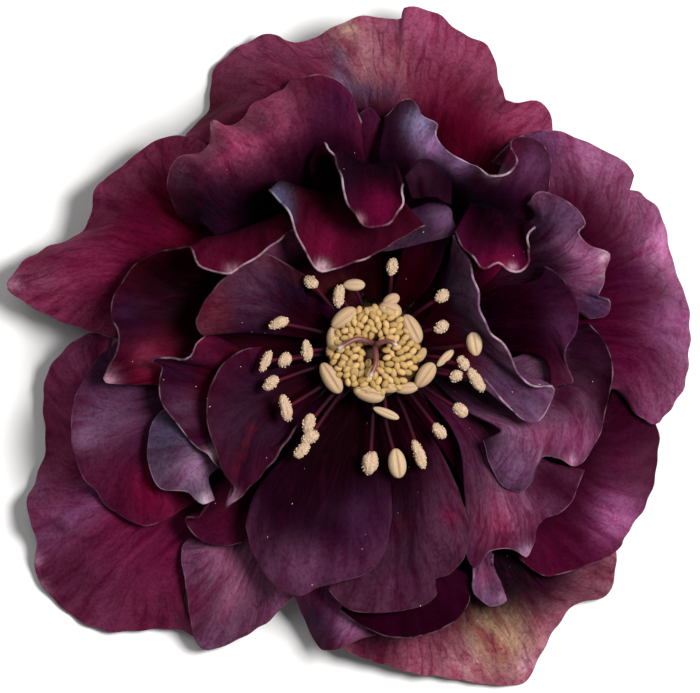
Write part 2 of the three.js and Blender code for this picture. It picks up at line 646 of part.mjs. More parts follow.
// The middle surface of a petal: rows from claw to margin, columns clockwise.
function petalGrid(petal) {
  const lines = [clawLine(petal), ...petal.lines.map((line) => line.map((p) => new THREE.Vector3(...p)))];
  const margin = lines[lines.length - 1];
  let length = 0;
  for (let i = 1; i < margin.length; i++) length += margin[i].distanceTo(margin[i - 1]);
  const columns = THREE.MathUtils.clamp(Math.round(length / columnStep), leastColumns, mostColumns);
  const grid = [];
  for (let column = 0; column <= columns; column++) {
    const across = lines.map((line) => splinePoint(line, column / columns));
    for (let row = 0; row <= rowCount; row++) {
      grid[row * (columns + 1) + column] = splinePoint(across, row / rowCount);
    }
  }
  return { columns, points: grid };
}

// Unit normals of a grid, on the side that faces the flower's axis.
function gridNormals({ columns, points }) {
  const wide = columns + 1;
  return points.map((_, index) => {
    const row = Math.floor(index / wide);
    const column = index % wide;
    const left = points[row * wide + Math.max(0, column - 1)];
    const right = points[row * wide + Math.min(columns, column + 1)];
    const inner = points[Math.max(0, row - 1) * wide + column];
    const outer = points[Math.min(rowCount, row + 1) * wide + column];
    const along = outer.clone().sub(inner);
    return right.clone().sub(left).cross(along).normalize();
  });
}

// A closed blade: the grid moved half a thickness each way, with a wall along the edge.
function bladeGeometry(grid) {
  const { columns, points } = grid;
  const wide = columns + 1;
  const normals = gridNormals(grid);
  const faces = [];
  const upper = points.map((p, i) => p.clone().addScaledVector(normals[i], bladeThickness / 2));
  const lower = points.map((p, i) => p.clone().addScaledVector(normals[i], -bladeThickness / 2));
  const count = points.length;
  for (let row = 0; row < rowCount; row++) {
    for (let column = 0; column < columns; column++) {
      const a = row * wide + column;
      const b = a + 1;
      const c = a + wide + 1;
      const d = a + wide;
      faces.push(a, b, c, a, c, d);
      faces.push(count + a, count + c, count + b, count + a, count + d, count + c);
    }
  }
  const edge = [];
  for (let column = 0; column < columns; column++) edge.push(column);
  for (let row = 0; row < rowCount; row++) edge.push(row * wide + columns);
  for (let column = columns; column > 0; column--) edge.push(rowCount * wide + column);
  for (let row = rowCount; row > 0; row--) edge.push(row * wide);
  edge.forEach((a, i) => {
    const b = edge[(i + 1) % edge.length];
    faces.push(a, count + a, b, b, count + a, count + b);
  });
  const geometry = new THREE.BufferGeometry();
  const flat = [...upper, ...lower].flatMap((p) => p.toArray());
  geometry.setAttribute("position", new THREE.Float32BufferAttribute(flat, 3));
  geometry.setIndex(faces);
  return geometry;
}

// Numbers from 0 to 1 that are the same on each run.
function seededNumbers(seed) {
  let state = seed;
  return () => {
    state = (Math.imul(state, 1664525) + 1013904223) >>> 0;
    return state / 4294967296;
  };
}

function solidOf(geometry) {
  const bare = new THREE.BufferGeometry();
  bare.setAttribute("position", geometry.getAttribute("position"));
  if (geometry.index) bare.setIndex(geometry.index);
  const merged = mergeVertices(bare, 1e-4);
  const mesh = new wasm.Mesh({
    numProp: 3,
    vertProperties: merged.attributes.position.array,
    triVerts: new Uint32Array(merged.index.array),
  });
  return new wasm.Manifold(mesh);
}

// One body from pieces that run into each other.
function fuse(pieces) {
  const mesh = pieces.map(solidOf).reduce((whole, piece) => whole.add(piece)).getMesh();
  const geometry = new THREE.BufferGeometry();
  geometry.setAttribute("position", new THREE.BufferAttribute(mesh.vertProperties, 3));
  geometry.setIndex(new THREE.BufferAttribute(mesh.triVerts, 1));
  return geometry;
}

// A body of revolution about Z; the profile runs from the bottom of the axis to its top.
function latheAboutZ(profile, sides) {
  const points = profile.map(([radius, height]) => new THREE.Vector2(radius, height));
  return new THREE.LatheGeometry(points, sides).rotateX(Math.PI / 2);
}

// A rod with closed ends along a smooth curve through a few points.
function rodGeometry(points, radius, sides, steps) {
  const corners = [];
  for (let side = 0; side < sides; side++) {
    const angle = (2 * Math.PI * side) / sides;
    corners.push(new THREE.Vector2(radius * Math.cos(angle), radius * Math.sin(angle)));
  }
  const path = new THREE.CatmullRomCurve3(points.map((p) => new THREE.Vector3(...p)));
  const shape = new THREE.Shape(corners);
  return new THREE.ExtrudeGeometry(shape, { steps, extrudePath: path, bevelEnabled: false });
}

// An anther or a bud: a small ellipsoid with few faces.
function beanGeometry(at, heading, halves, bands) {
  const bean = new THREE.SphereGeometry(1, 5, bands).rotateZ(Math.PI / 2);
  bean.scale(...halves);
  bean.rotateZ(THREE.MathUtils.degToRad(heading));
  return bean.translate(...at);
}

// The boss: unopened anthers packed in a spiral over a dished core, plump ones at its edge.
function bossGeometry() {
  const random = seededNumbers(bossSeed);
  const pieces = [latheAboutZ(coreProfile, 16)];
  const spiral = Math.PI * (3 - Math.sqrt(5));
  for (let bud = 0; bud < budCount; bud++) {
    const radius = 1.5 + 3.1 * Math.sqrt((bud + 0.5) / budCount) + 0.25 * (random() - 0.5);
    const angle = bud * spiral + 0.3 * (random() - 0.5);
    const height = 16.25 - 0.085 * Math.max(0, radius - 2) ** 2.4 - (radius < 1.8 ? 0.4 : 0);
    const at = [radius * Math.cos(angle), radius * Math.sin(angle), height + 0.2 * (random() - 0.5)];
    pieces.push(beanGeometry(at, 360 * random(), budSize, 2));
  }
  for (const { at, heading, half } of plumpAnthers) {
    pieces.push(beanGeometry(at, heading, [half[0], half[1], half[1]], 3));
  }
  return fuse(pieces);
}

// Filaments from the collar under the boss, each with its anther.
function stamensGeometry() {
  const pieces = [latheAboutZ(collarProfile, 12)];
  for (const { at, heading, half } of stamenTable) {
    const reach = Math.hypot(at[0], at[1]);
    const out = [at[0] / reach, at[1] / reach];
    const root = [filamentRoot * out[0], filamentRoot * out[1], filamentRootHeight];
    const knee = [0.62 * reach * out[0], 0.62 * reach * out[1], 0.42 * root[2] + 0.58 * at[2] - 0.1];
    const rod = [root, knee, [at[0], at[1], at[2] - 0.1]];
    pieces.push(rodGeometry(rod, filamentRadius, filamentSides, filamentSteps));
    pieces.push(beanGeometry(at, heading, [half[0], half[1], half[1]], 3));
  }
  return fuse(pieces);
}

function stylesGeometry() {
  const rods = stylePaths.map((path) => rodGeometry([styleFoot, ...path], styleRadius, 6, 6));
  return fuse(rods);
}

function addNode(name, geometry, colour, roughness) {
  const material = new THREE.MeshStandardMaterial({ color: colour, roughness, metalness: 0 });
  const mesh = new THREE.Mesh(geometry, material);
  mesh.name = name;
  group.add(mesh);
}

const wasm = await Module();
wasm.setup();
const group = new THREE.Group();
petals.forEach((petal) => addNode(petal.name, bladeGeometry(petalGrid(petal)), petal.colour, 0.6));
addNode("receptacle_and_stalk", latheAboutZ(receptacleProfile, stalkSides), stalk, 0.7);
addNode("anther_boss", bossGeometry(), boss, 0.8);
addNode("stamens", stamensGeometry(), anther, 0.8);
addNode("styles", stylesGeometry(), style, 0.5);

export default group;
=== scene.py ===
# A double hellebore bloom in wine and rose, picked and laid on its back on pale paper.
# Sizes are millimetres in the tables and metres in the meshes; +Z is the flower's axis.

import itertools
import math

import bpy
import numpy as np
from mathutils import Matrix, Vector


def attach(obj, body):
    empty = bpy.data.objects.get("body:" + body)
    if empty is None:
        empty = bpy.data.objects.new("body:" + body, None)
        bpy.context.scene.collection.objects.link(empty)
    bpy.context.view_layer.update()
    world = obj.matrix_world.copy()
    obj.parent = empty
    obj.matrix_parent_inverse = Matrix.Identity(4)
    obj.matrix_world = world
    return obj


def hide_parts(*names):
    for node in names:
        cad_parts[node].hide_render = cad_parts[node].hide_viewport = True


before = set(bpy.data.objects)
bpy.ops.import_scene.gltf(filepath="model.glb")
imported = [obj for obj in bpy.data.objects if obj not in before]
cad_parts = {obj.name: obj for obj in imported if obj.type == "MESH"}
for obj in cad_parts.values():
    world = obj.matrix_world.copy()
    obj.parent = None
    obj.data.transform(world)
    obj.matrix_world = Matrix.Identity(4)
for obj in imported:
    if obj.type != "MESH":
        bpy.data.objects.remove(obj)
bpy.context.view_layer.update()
print("frame loaded")

mm = 0.001
fullTurn = 2 * math.pi


def linearTone(hexTone):
    parts = [int(hexTone[i:i + 2], 16) / 255 for i in (1, 3, 5)]
    return np.array([c / 12.92 if c <= 0.04045 else ((c + 0.055) / 1.055) ** 2.4 for c in parts])


def opaque(tone):
    return *tone, 1


# An input takes a value, a socket, or a node for its main output.
def addNode(tree, kind, inputs=None, **settings):
    node = tree.nodes.new("ShaderNode" + kind)
    for name, value in settings.items():
        setattr(node, name, value)
    for name, value in (inputs or {}).items():
        if isinstance(value, bpy.types.Node):
            value = value.outputs[mixResult if value.bl_idname == "ShaderNodeMix" else 0]
        if isinstance(value, bpy.types.NodeSocket):
            tree.links.new(value, node.inputs[name])
        else:
            node.inputs[name].default_value = value
    return node


# Places of a Mix node's colour sockets.
mixResult = 2
mixShare, mixUnder, mixOver = 0, 6, 7


def newMaterial(name):
    material = bpy.data.materials.new(name)
    material.use_nodes = True
    material.node_tree.nodes.clear()
    return material, material.node_tree


def finishMaterial(tree, surface):
    shader = addNode(tree, "BsdfPrincipled", surface)
    addNode(tree, "OutputMaterial", {"Surface": shader})


def addObject(name, data):
    added = bpy.data.objects.new(name, data)
    bpy.context.scene.collection.objects.link(added)
    return added


# Kinds of attribute, by how many numbers a point has.
attributeKinds = {1: ("FLOAT", "value"), 3: ("FLOAT_VECTOR", "vector"), 4: ("FLOAT_COLOR", "color")}


# A piece that takes the place of a solid of the same name.
def addPiece(node, material, vertices, faces, tones, attributes):
    mesh = bpy.data.meshes.new(node + "_fine")
    mesh.from_pydata((vertices * mm).tolist(), [], faces)
    attributes = {"tone": np.column_stack([tones, np.ones(len(tones))]), **attributes}
    for key, values in attributes.items():
        values = np.asarray(values, float).reshape(len(vertices), -1)
        kind, field = attributeKinds[values.shape[1]]
        mesh.attributes.new(key, kind, "POINT").data.foreach_set(field, values.ravel())
    mesh.materials.append(material)
    mesh.shade_smooth()
    mesh.update()
    piece = addObject(node + "_fine", mesh)
    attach(piece, "root")
    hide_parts(node)


# Claws stand in rings on the receptacle, one ring for each round of petals.
claws = {
    "width": 1.3,
    "gap": 0.3,
    "heights": [4.4, 6.3, 8.2, 9.9],
    "radii": [4.9, 4.75, 4.55, 4.3],
    "step": 0.08,  # rise from one claw to the next in its ring
}

# Lines run across each petal clockwise, seen from above, from near its foot to its margin. Petals
# go from the outermost one inwards, with a narrow fold of the second ring at the end. Tones run
# from the heart through the middle to the edge; the near-black hearts are partly the petal's own
# colour and partly painted shade deep in the bloom. A wash is x, y, reach, tone and strength; washes
# lay the petal's own colour patches, and also painted shade in hollows and under overlapping petals
# and painted highlights on crests and curled tips.
petals = [
  {"name": "outer_petal_lower_left", "ring": 0, "azimuth": -155, "veins": 0.7, "rim": 0.15,
   "tones": ["#3a081e", "#520e2e", "#6c2a4a"],
   "washesOfToneAndLight": [
    [-33.5, -8, 2.8, "#52062a", 0.85], [-31.5, 1, 3.5, "#562844", 0.6], [-34, -14, 2, "#5c3a56", 0.6],
    [-33, -19, 1.7, "#804c78", 0.6], [-30.5, -16.8, 1.7, "#804c78", 0.6],
    [-28.3, -14.8, 1.7, "#764670", 0.55], [-27.5, -22.5, 4, "#602644", 0.5],
    [-22, -27, 3.5, "#560628", 0.5], [-31.5, -23, 2.6, "#521838", 0.5], [-34, -20.8, 0.7, "#b484a0", 0.6],
    [-33.4, -23.8, 0.7, "#b88ca2", 0.6]],
   "lines": [
    [[-12, -14, 6], [-16, -9, 6.5], [-16, -1, 6.5]],
    [[-19, -24, 5], [-26, -20, 7], [-28, -11, 8], [-27, -2, 7.5]],
    [[-17.5, -29, 1.5], [-19.5, -28, 1.5], [-23.5, -28.2, 1], [-27.5, -28, 0.8], [-30.5, -26.7, 0.6],
     [-32.5, -24.7, 0.6], [-34.1, -22, 1], [-34, -19.5, 2.5], [-34.5, -17.2, 3.5], [-34.8, -15.5, 3],
     [-34, -12.8, 2], [-32.9, -9, 2], [-33.3, -5, 2.5], [-33, -2.5, 3], [-31.3, -0.3, 4], [-28.7, 1.7, 5],
     [-26.3, 1.2, 6]]]},
  {"name": "outer_petal_bottom_right", "ring": 0, "azimuth": -62, "veins": 1, "rim": 0.12,
   "tones": ["#0c0104", "#2c0818", "#8a4c60"],
   "washesOfToneAndLight": [
    [12.5, -29, 3.1, "#b08c72", 0.85], [6.5, -31.5, 3, "#9c5c6c", 0.5], [22.5, -22.5, 3, "#482430", 0.8],
    [4.5, -30.5, 3.5, "#6c2440", 0.6], [9, -31.8, 1.6, "#b07a84", 0.5], [17.2, -29.4, 1.1, "#b07c84", 0.6],
    [15.2, -31.6, 1.1, "#c094a0", 0.7], [-1, -30, 3.4, "#34061e", 0.85], [11.5, -22.5, 3.8, "#080104", 1],
    [16, -22.2, 3.4, "#0c0206", 1], [14.5, -20.4, 4.6, "#060004", 1]],
   "lines": [
    [[12, -12, 5.6], [7, -15, 6], [-1, -15, 5.4]],
    [[20, -19, 5.2], [15, -25, 6.4], [7, -26, 6.6], [-2, -24, 5.2]],
    [[24.3, -19.8, 3], [24.1, -22.2, 1.5], [23.1, -24.7, 1], [21, -25.2, 1.5], [18.7, -27, 1.2],
     [17, -29.6, 1], [15.2, -33.4, 0.5], [13, -33.6, 0.7], [10.5, -33.4, 1.2], [5.5, -32.7, 2],
     [1, -31.6, 3], [-2.3, -30.5, 4], [-4, -29, 5]]]},
  {"name": "outer_petal_top", "ring": 0, "azimuth": 88, "veins": 0.9, "rim": 0.12,
   "tones": ["#1c010a", "#4c1028", "#7a3654"],
   "washesOfToneAndLight": [
    [-13.5, 27, 5, "#78304e", 0.5], [-16, 23.5, 3.2, "#48021e", 0.9], [-0.5, 28.8, 3.4, "#94606a", 0.8],
    [-3.6, 29.4, 0.9, "#54465f", 0.7], [-3.5, 27.6, 1, "#5a4c68", 0.8], [-2.6, 26.3, 0.9, "#5a4c68", 0.8],
    [-0.8, 25.7, 1, "#54405f", 0.8], [1.4, 25.7, 1, "#4c3450", 0.7], [-5.6, 27.5, 1.6, "#5c1c34", 0.7],
    [8, 28.5, 4, "#7c324a", 0.4], [8.5, 21.5, 5.5, "#420216", 0.95], [14.5, 22.5, 2.2, "#6a2038", 0.5],
    [-2.8, 32.3, 1.4, "#b09080", 0.6], [1, 22.5, 2.8, "#30061a", 0.9], [-0.7, 23.6, 0.6, "#5c3048", 0.7],
    [-0.6, 22.4, 0.5, "#542840", 0.7], [-0.5, 21.3, 0.5, "#4c2038", 0.7],
    [-0.4, 20.2, 0.4, "#44182f", 0.7]],
   "lines": [
    [[-9, 13, 7], [-4, 17, 7.5], [0, 19, 8], [5, 18, 7.5], [11.5, 14.5, 6.8]],
    [[-13, 22, 9], [-9, 26, 11], [-3, 25.5, 12], [2, 25.5, 15], [7, 25, 13], [13.6, 19.4, 8.6]],
    [[-18, 20, 4.5], [-18.8, 21.4, 2.8], [-16.8, 24.2, 1.6], [-16.1, 27.8, 0.8], [-13.5, 30.6, 1.2],
     [-10.5, 31.7, 3], [-7.8, 30.8, 6], [-3.5, 32.5, 8], [-1, 33.4, 8], [2.5, 33.2, 7.5], [2.9, 34.2, 7],
     [6, 33.7, 6], [8.8, 31.8, 5], [11.3, 30.2, 3], [12.7, 26.5, 3.5], [13.7, 24.6, 6.5], [16.5, 24.9, 6],
     [17.8, 23.2, 4], [17.8, 21.7, 4.5]]]},
  {"name": "outer_petal_lower_right", "ring": 0, "azimuth": -30, "veins": 0.7,
   "tones": ["#0a0104", "#20010f", "#400a26"],
   "washesOfToneAndLight": [
    [24.2, -16.4, 2.6, "#8c4876", 0.9], [25.5, -11, 2.5, "#581a3a", 0.5], [24, -6, 5, "#1e020e", 0.95],
    [17.5, -20, 3.6, "#38041c", 0.8], [19.6, -14, 3, "#34041a", 0.85]],
   "lines": [
    [[16, -3, 7], [14, -10, 7], [9, -12, 7.4]],
    [[23, -5.5, 7.6], [23.5, -12, 8.8], [20, -16.5, 8.6], [13, -18, 8.4]],
    [[24, -2.5, 6], [28, -7.4, 3.5], [28.5, -10, 2], [28, -13.2, 1], [26.5, -16.5, 1.2], [25.3, -18.6, 2.5],
     [24, -20.3, 5.4], [21, -21.7, 6.6], [18.5, -22.5, 7.2], [16.8, -22.6, 7.7], [14.5, -21, 8.2]]]},
  {"name": "outer_petal_lower_left_small", "ring": 0, "azimuth": -122, "veins": 0.8,
   "tones": ["#744262", "#74445e", "#603450"],
   "washesOfToneAndLight": [[-16, -29, 2.4, "#4c3048", 0.6], [-18, -25.5, 1.8, "#6a0e34", 0.5]],
   "lines": [
    [[-6, -14, 6.8], [-9.5, -13.5, 7], [-13, -11, 7.2]],
    [[-9.5, -21.5, 7.4], [-14, -23, 8.2], [-17, -19, 8.4]],
    [[-7.9, -24.6, 5], [-9, -25.5, 4], [-11.3, -27.5, 3], [-13.5, -29, 2], [-16, -30, 1.2],
     [-17.2, -29.9, 2], [-18.1, -28.8, 3], [-18.6, -26.5, 5], [-19, -23, 6.8], [-19.4, -19.8, 7.4],
     [-18.5, -18.8, 7.5]]]},
  {"name": "outer_petal_right", "ring": 0, "azimuth": 10, "veins": 0.9, "rim": 0.15,
   "tones": ["#140206", "#340a1e", "#784264"],
   "washesOfToneAndLight": [
    [21.3, 11.5, 4.6, "#2c0314", 0.95], [22.8, 4, 5, "#38041c", 0.95], [24.3, -2.5, 4, "#48062a", 0.85],
    [29.4, 10.2, 2.8, "#a45e8c", 0.9], [30.3, 2.4, 2.8, "#844673", 0.75], [25.4, 7.4, 2.4, "#30041f", 0.9],
    [25.5, 15.6, 2.6, "#6c3854", 0.7], [17, 19, 2.2, "#44162e", 0.6], [15.5, 20.5, 2.6, "#34183a", 0.85],
    [25.5, -5.5, 3.4, "#5a2440", 0.75], [12.4, 19.4, 1.5, "#1c0408", 0.95]],
   "lines": [
    [[13, 13, 7.5], [16, 5, 8], [15, -2, 8]],
    [[15.2, 16.8, 11.2], [25, 10, 11.6], [26.5, 2, 11.4], [23.5, -4, 9]],
    [[11.6, 18.8, 12.4], [14, 21.1, 10.2], [16.2, 21.9, 7.8], [17.8, 21.9, 6], [20.5, 21.1, 5.5],
     [23.7, 19.7, 4.5], [25.8, 17.7, 4.5], [25.2, 16.3, 6], [26.8, 15.7, 4.5], [28.2, 14.2, 3],
     [29.5, 10.5, 2], [30.8, 6, 1], [31.7, 2, 0.5], [31.3, -2, 1], [30, -5.5, 3], [28.5, -7.2, 5],
     [27.5, -7.3, 6], [23.7, -3.5, 8]]]},
  {"name": "outer_petal_bottom", "ring": 0, "azimuth": -92, "veins": 0.5, "rim": 0.15,
   "tones": ["#1c0416", "#7a3660", "#4a1832"],
   "washesOfToneAndLight": [[-5.5, -27, 2, "#2c1434", 0.8], [-2.2, -27.2, 1.8, "#8a5c82", 0.7]],
   "lines": [
    [[3, -15, 7], [-2, -16, 7], [-6, -15, 7]],
    [[3.5, -24.5, 7.4], [-1, -26, 8.2], [-5, -25.5, 7.6], [-7, -22, 7]],
    [[4.5, -28.2, 6.2], [2, -28.1, 7], [-1.5, -29, 7.6], [-3.8, -30, 6.5], [-5.3, -30, 3.5], [-6.2, -29, 3],
     [-7.2, -26.8, 4], [-7.9, -25, 5.5], [-8.5, -24, 6.5]]]},
  {"name": "outer_petal_left", "ring": 0, "azimuth": 155, "veins": 0.9, "rim": 0.1,
   "tones": ["#3a000a", "#580622", "#702846"],
   "washesOfToneAndLight": [
    [-29, 9.5, 4.2, "#7e2c52", 0.6], [-23, 12.6, 4, "#3c0218", 0.9], [-26, 17, 2.4, "#60243f", 0.5],
    [-25.5, 5.2, 3.2, "#3a041a", 0.85], [-33, 7.5, 2, "#743850", 0.6], [-36.2, 6.8, 0.8, "#a87890", 0.7]],
   "lines": [
    [[-16, 2, 8], [-15, 8, 8.5], [-11, 12, 8.5]],
    [[-25, 3.5, 9.5], [-27, 8, 10], [-23, 14, 10.5], [-17.5, 17.5, 10]],
    [[-25.7, 1.3, 7.5], [-28.7, 1.9, 7], [-31.5, 3, 6], [-34.5, 4.5, 5.5], [-36.7, 5.8, 5], [-36.8, 6.9, 5],
     [-35, 8.8, 4.5], [-32.5, 10.4, 4], [-29.5, 11.8, 4.5], [-28.4, 13.2, 5.5], [-28.1, 15.8, 5.5],
     [-27.5, 16.9, 5], [-24.5, 19, 5], [-21.2, 21.3, 5.5], [-18.5, 21.3, 7.5], [-16.5, 20.2, 9]]]},
  {"name": "middle_petal_bottom", "ring": 1, "azimuth": -68, "veins": 0.4,
   "tones": ["#0a0106", "#260014", "#1c000e"],
   "lines": [
    [[8, -14, 8.6], [5, -16, 8.8], [-1, -16, 9]],
    [[7.5, -21, 9.4], [4, -23.5, 10], [-1, -22.5, 10]],
    [[9.3, -22.5, 8.6], [9.3, -25.5, 8.4], [7.2, -27.7, 8.6], [4, -28.7, 9], [1, -28.6, 9.2],
     [-2, -27.2, 9.4], [-3.5, -26, 9.4]]]},
  {"name": "middle_petal_strip", "ring": 1, "azimuth": -50, "veins": 0.4,
   "tones": ["#20000e", "#34142a", "#543852"],
   "washesOfToneAndLight": [[11, -22.5, 1.4, "#702c4c", 0.5], [12.8, -24.8, 0.6, "#a07c98", 0.7]],
   "lines": [
    [[10, -12.5, 8.6], [8.8, -13.5, 8.6]],
    [[11.6, -20, 9.5], [9.9, -20.5, 9.7]],
    [[11.6, -21, 9.6], [11.9, -22.8, 9.6], [12.5, -24, 9.6], [13.2, -25.1, 9.6], [11.7, -25.7, 9.4],
     [10.9, -25.3, 9.4], [9.9, -24.2, 9.8], [9.8, -22.5, 9.9], [9.8, -21, 9.9]]]},
  {"name": "middle_petal_lower_right", "ring": 1, "azimuth": -32, "veins": 1, "rim": 0.25,
   "tones": ["#340e24", "#5e3850", "#3e162e"],
   "washesOfToneAndLight": [
    [12.5, -17, 2.6, "#78243f", 0.5], [9.8, -11.5, 3, "#38182e", 0.7], [15.6, -15.6, 2.2, "#7c4a6c", 0.5],
    [17.2, -13, 2.8, "#2a0216", 1], [8.6, -14.5, 2.4, "#341826", 0.6], [15.2, -20.2, 0.7, "#a47c9a", 0.8]],
   "lines": [
    [[12, -6, 8.8], [10.3, -8.2, 9.3], [8.2, -9, 9.7]],
    [[17, -11, 9.8], [15, -15, 11.5], [12, -16, 12], [9, -15, 11.5]],
    [[21, -12, 10], [20.3, -13.7, 10], [19.7, -15.2, 9.6], [18.5, -16.4, 9.6], [17, -16.8, 9.8],
     [16.1, -17.8, 10], [15.8, -19.3, 10], [15.2, -20.7, 9.6], [14.1, -20.1, 10.2], [12.5, -19.9, 10.8],
     [11.2, -20.3, 11.2], [10.1, -21.8, 11.2], [9.3, -21, 11.2], [9.1, -18.5, 11.4]]]},
  {"name": "middle_petal_lower_left", "ring": 1, "azimuth": -170, "veins": 0.6, "rim": 0.12,
   "tones": ["#2c1826", "#3c1028", "#40122a"],
   "washesOfToneAndLight": [
    [-26.6, -6, 2.8, "#5c3e5a", 0.75], [-29, -8.3, 1.7, "#6a4a66", 0.7],
    [-21.8, -14.3, 3.6, "#580626", 0.95], [-26.5, -1.4, 3, "#34203a", 0.8],
    [-23.6, -9.4, 1.8, "#301028", 0.6], [-21.5, -4.5, 3, "#301c30", 0.8]],
   "lines": [
    [[-13, -9, 8.5], [-15, -5, 8.5], [-14, -1, 8.2]],
    [[-20, -12.5, 9.5], [-24.5, -9, 10.4], [-23, -3, 9.8]],
    [[-17, -14.5, 9], [-19, -15.8, 9], [-21.5, -17.2, 9], [-23.2, -17.6, 9], [-25.5, -16.6, 9],
     [-27.2, -15.3, 8.5], [-28, -14, 9.5], [-29.1, -13, 10], [-29.9, -11, 10], [-30.4, -9, 10],
     [-30.2, -5.5, 9.5], [-29.5, -3.5, 9], [-27.7, -0.7, 8.5], [-25.7, 0.8, 8.5]]]},
  {"name": "middle_petal_lower_left_small", "ring": 1, "azimuth": -134, "veins": 0.5,
   "tones": ["#300022", "#26000a", "#3a0b24"],
   "washesOfToneAndLight": [[-15, -17.5, 2, "#440c24", 0.5]],
   "lines": [
    [[-8, -10.5, 8.8], [-10.5, -9.5, 8.8]],
    [[-12, -16, 10.4], [-15.5, -15.5, 11], [-16, -13.5, 10.8]],
    [[-13.3, -19.3, 10], [-15, -19.6, 10], [-17, -19.2, 10], [-18.3, -18.2, 10.2], [-19, -17, 10.5],
     [-17.5, -16.8, 12], [-17, -15.8, 12.5], [-16.5, -15, 12.5]]]},
  {"name": "middle_petal_upper_left", "ring": 1, "azimuth": 118, "veins": 0.8, "rim": 0.35,
   "tones": ["#160108", "#30061e", "#54142c"],
   "washesOfToneAndLight": [
    [-14.8, 21, 3.6, "#963e60", 0.85], [-9.5, 24, 3.2, "#7c3450", 0.7], [-19.2, 17.6, 1.3, "#5c3850", 0.6],
    [-16.5, 14, 4, "#140a18", 1], [-11.5, 13.6, 4.4, "#0c020c", 0.95], [-3.6, 24.5, 2.8, "#30102c", 0.9],
    [-4, 19.5, 3.8, "#180210", 0.95], [-16.4, 22.4, 0.6, "#b88498", 0.8]],
   "lines": [
    [[-12, 7, 10], [-10, 12, 10], [-5, 15, 10], [-0.9, 15, 10.3]],
    [[-17, 12.5, 15], [-17, 17, 18.5], [-12, 20.5, 20], [-6, 22.3, 18.5], [-1.2, 20.2, 14.5]],
    [[-18, 12, 12], [-20, 14.5, 13.5], [-20.6, 17.8, 15], [-19.4, 19.4, 15], [-17.2, 19.6, 15],
     [-16.3, 20.5, 14.5], [-16.2, 22.8, 15.5], [-14, 22.5, 14], [-11.7, 24.6, 13.5], [-9.5, 25.8, 13],
     [-8.3, 27, 12.5], [-6.5, 27.4, 13.6], [-4, 27, 14.4], [-2.3, 25.4, 15], [-1.5, 22.7, 15.2]]]},
  {"name": "middle_petal_upper_right", "ring": 1, "azimuth": 64, "veins": 0.4, "rim": 0.6,
   "tones": ["#0b0107", "#2c0620", "#260612"],
   "washesOfToneAndLight": [
    [4.3, 22.6, 1.5, "#645878", 0.9], [5.6, 20.6, 1.6, "#846690", 0.85], [8.5, 18.6, 1.4, "#74567c", 0.7],
    [10, 13.6, 4.4, "#0a010a", 1], [15.6, 18.3, 2.2, "#4c2644", 0.8], [12.7, 19.6, 1.1, "#600c2a", 0.9],
    [1.4, 19.4, 2.2, "#1a0614", 0.9], [1, 22, 1.5, "#200c1c", 0.85], [11.8, 18.1, 0.7, "#bc9caa", 0.8]],
   "lines": [
    [[0.5, 15, 10.2], [5, 14, 10], [10, 12, 9], [12, 9.5, 8.8]],
    [[0.4, 19.4, 14.2], [5, 19.6, 17], [10, 16, 17], [14, 16.5, 15.5], [16, 14.5, 13]],
    [[1, 23.2, 14], [3.2, 25.1, 15], [4.3, 24.3, 16], [4.6, 23.5, 16], [6.2, 22.6, 16], [6.2, 21.2, 17],
     [7.2, 19.9, 17.5], [9, 18.8, 18], [10.5, 18.1, 19], [11.5, 17.3, 19.5], [13.1, 17.8, 19],
     [14.2, 18.8, 18], [13.7, 20.2, 16], [14, 21.2, 15], [15.8, 21.1, 14], [17.1, 20, 13], [17.6, 18.2, 12],
     [17.4, 16.2, 11.5]]]},
  {"name": "middle_petal_right_low", "ring": 1, "azimuth": -14, "veins": 0.8, "rim": 0.3,
   "tones": ["#341a2e", "#6c4862", "#18000a"],
   "washesOfToneAndLight": [
    [19.9, -8.9, 2.2, "#84466c", 0.85], [16.6, -8.8, 1.6, "#74304f", 0.7], [14, -11.5, 2.6, "#6c4868", 0.8],
    [19, -4.4, 2.6, "#30031a", 0.95], [21, -0.5, 4, "#18020e", 1], [21.5, 2.5, 4, "#160210", 1],
    [19.6, -11.2, 0.7, "#b48ca6", 0.8], [16.6, -10.8, 0.5, "#a07c98", 0.6]],
   "lines": [
    [[13, -1, 10], [12, -4, 10], [9, -6, 10]],
    [[19, 1.8, 11.6], [20, -4.6, 12.5], [16, -8, 13], [12.5, -8, 13]],
    [[21.4, 2.7, 11.1], [23, 0.8, 11.6], [23.8, -2, 11.6], [23.3, -5, 10.8], [22.8, -7.5, 10.5],
     [21.7, -9.8, 10.4], [20, -11.6, 10.6], [18.5, -10.9, 11.6], [16.8, -10.7, 12.2], [16, -11.7, 12],
     [15.5, -13.2, 12], [14.7, -14.1, 12], [13.7, -14.1, 12], [12.5, -13.3, 12], [11.5, -11.5, 12],
     [10.9, -9, 12]]]},
  {"name": "middle_petal_right", "ring": 1, "azimuth": 36, "veins": 0.9, "rim": 0.3,
   "tones": ["#1c0106", "#48243c", "#50283e"],
   "washesOfToneAndLight": [
    [21.2, 8.3, 2.4, "#90547c", 0.85], [18.3, 13, 2.6, "#44304a", 0.8], [22, 4.6, 1.8, "#30203c", 0.9],
    [14, 12, 2.8, "#0c020a", 0.9], [17.6, 8.6, 1.8, "#2a0820", 0.7], [22.9, 9.3, 0.6, "#c8a0b2", 0.8],
    [22.7, 7.8, 0.5, "#b890a4", 0.7]],
   "lines": [
    [[11, 10, 10.2], [13, 7, 9.2], [14, 4.5, 8.8]],
    [[15.8, 13.2, 14], [18, 10.5, 16.5], [20.5, 8, 15], [19, 4.5, 11.6]],
    [[15.2, 14.5, 15.5], [16.2, 15.7, 16.5], [18.3, 15.3, 16.5], [20, 14.2, 16], [21, 12.6, 15.5],
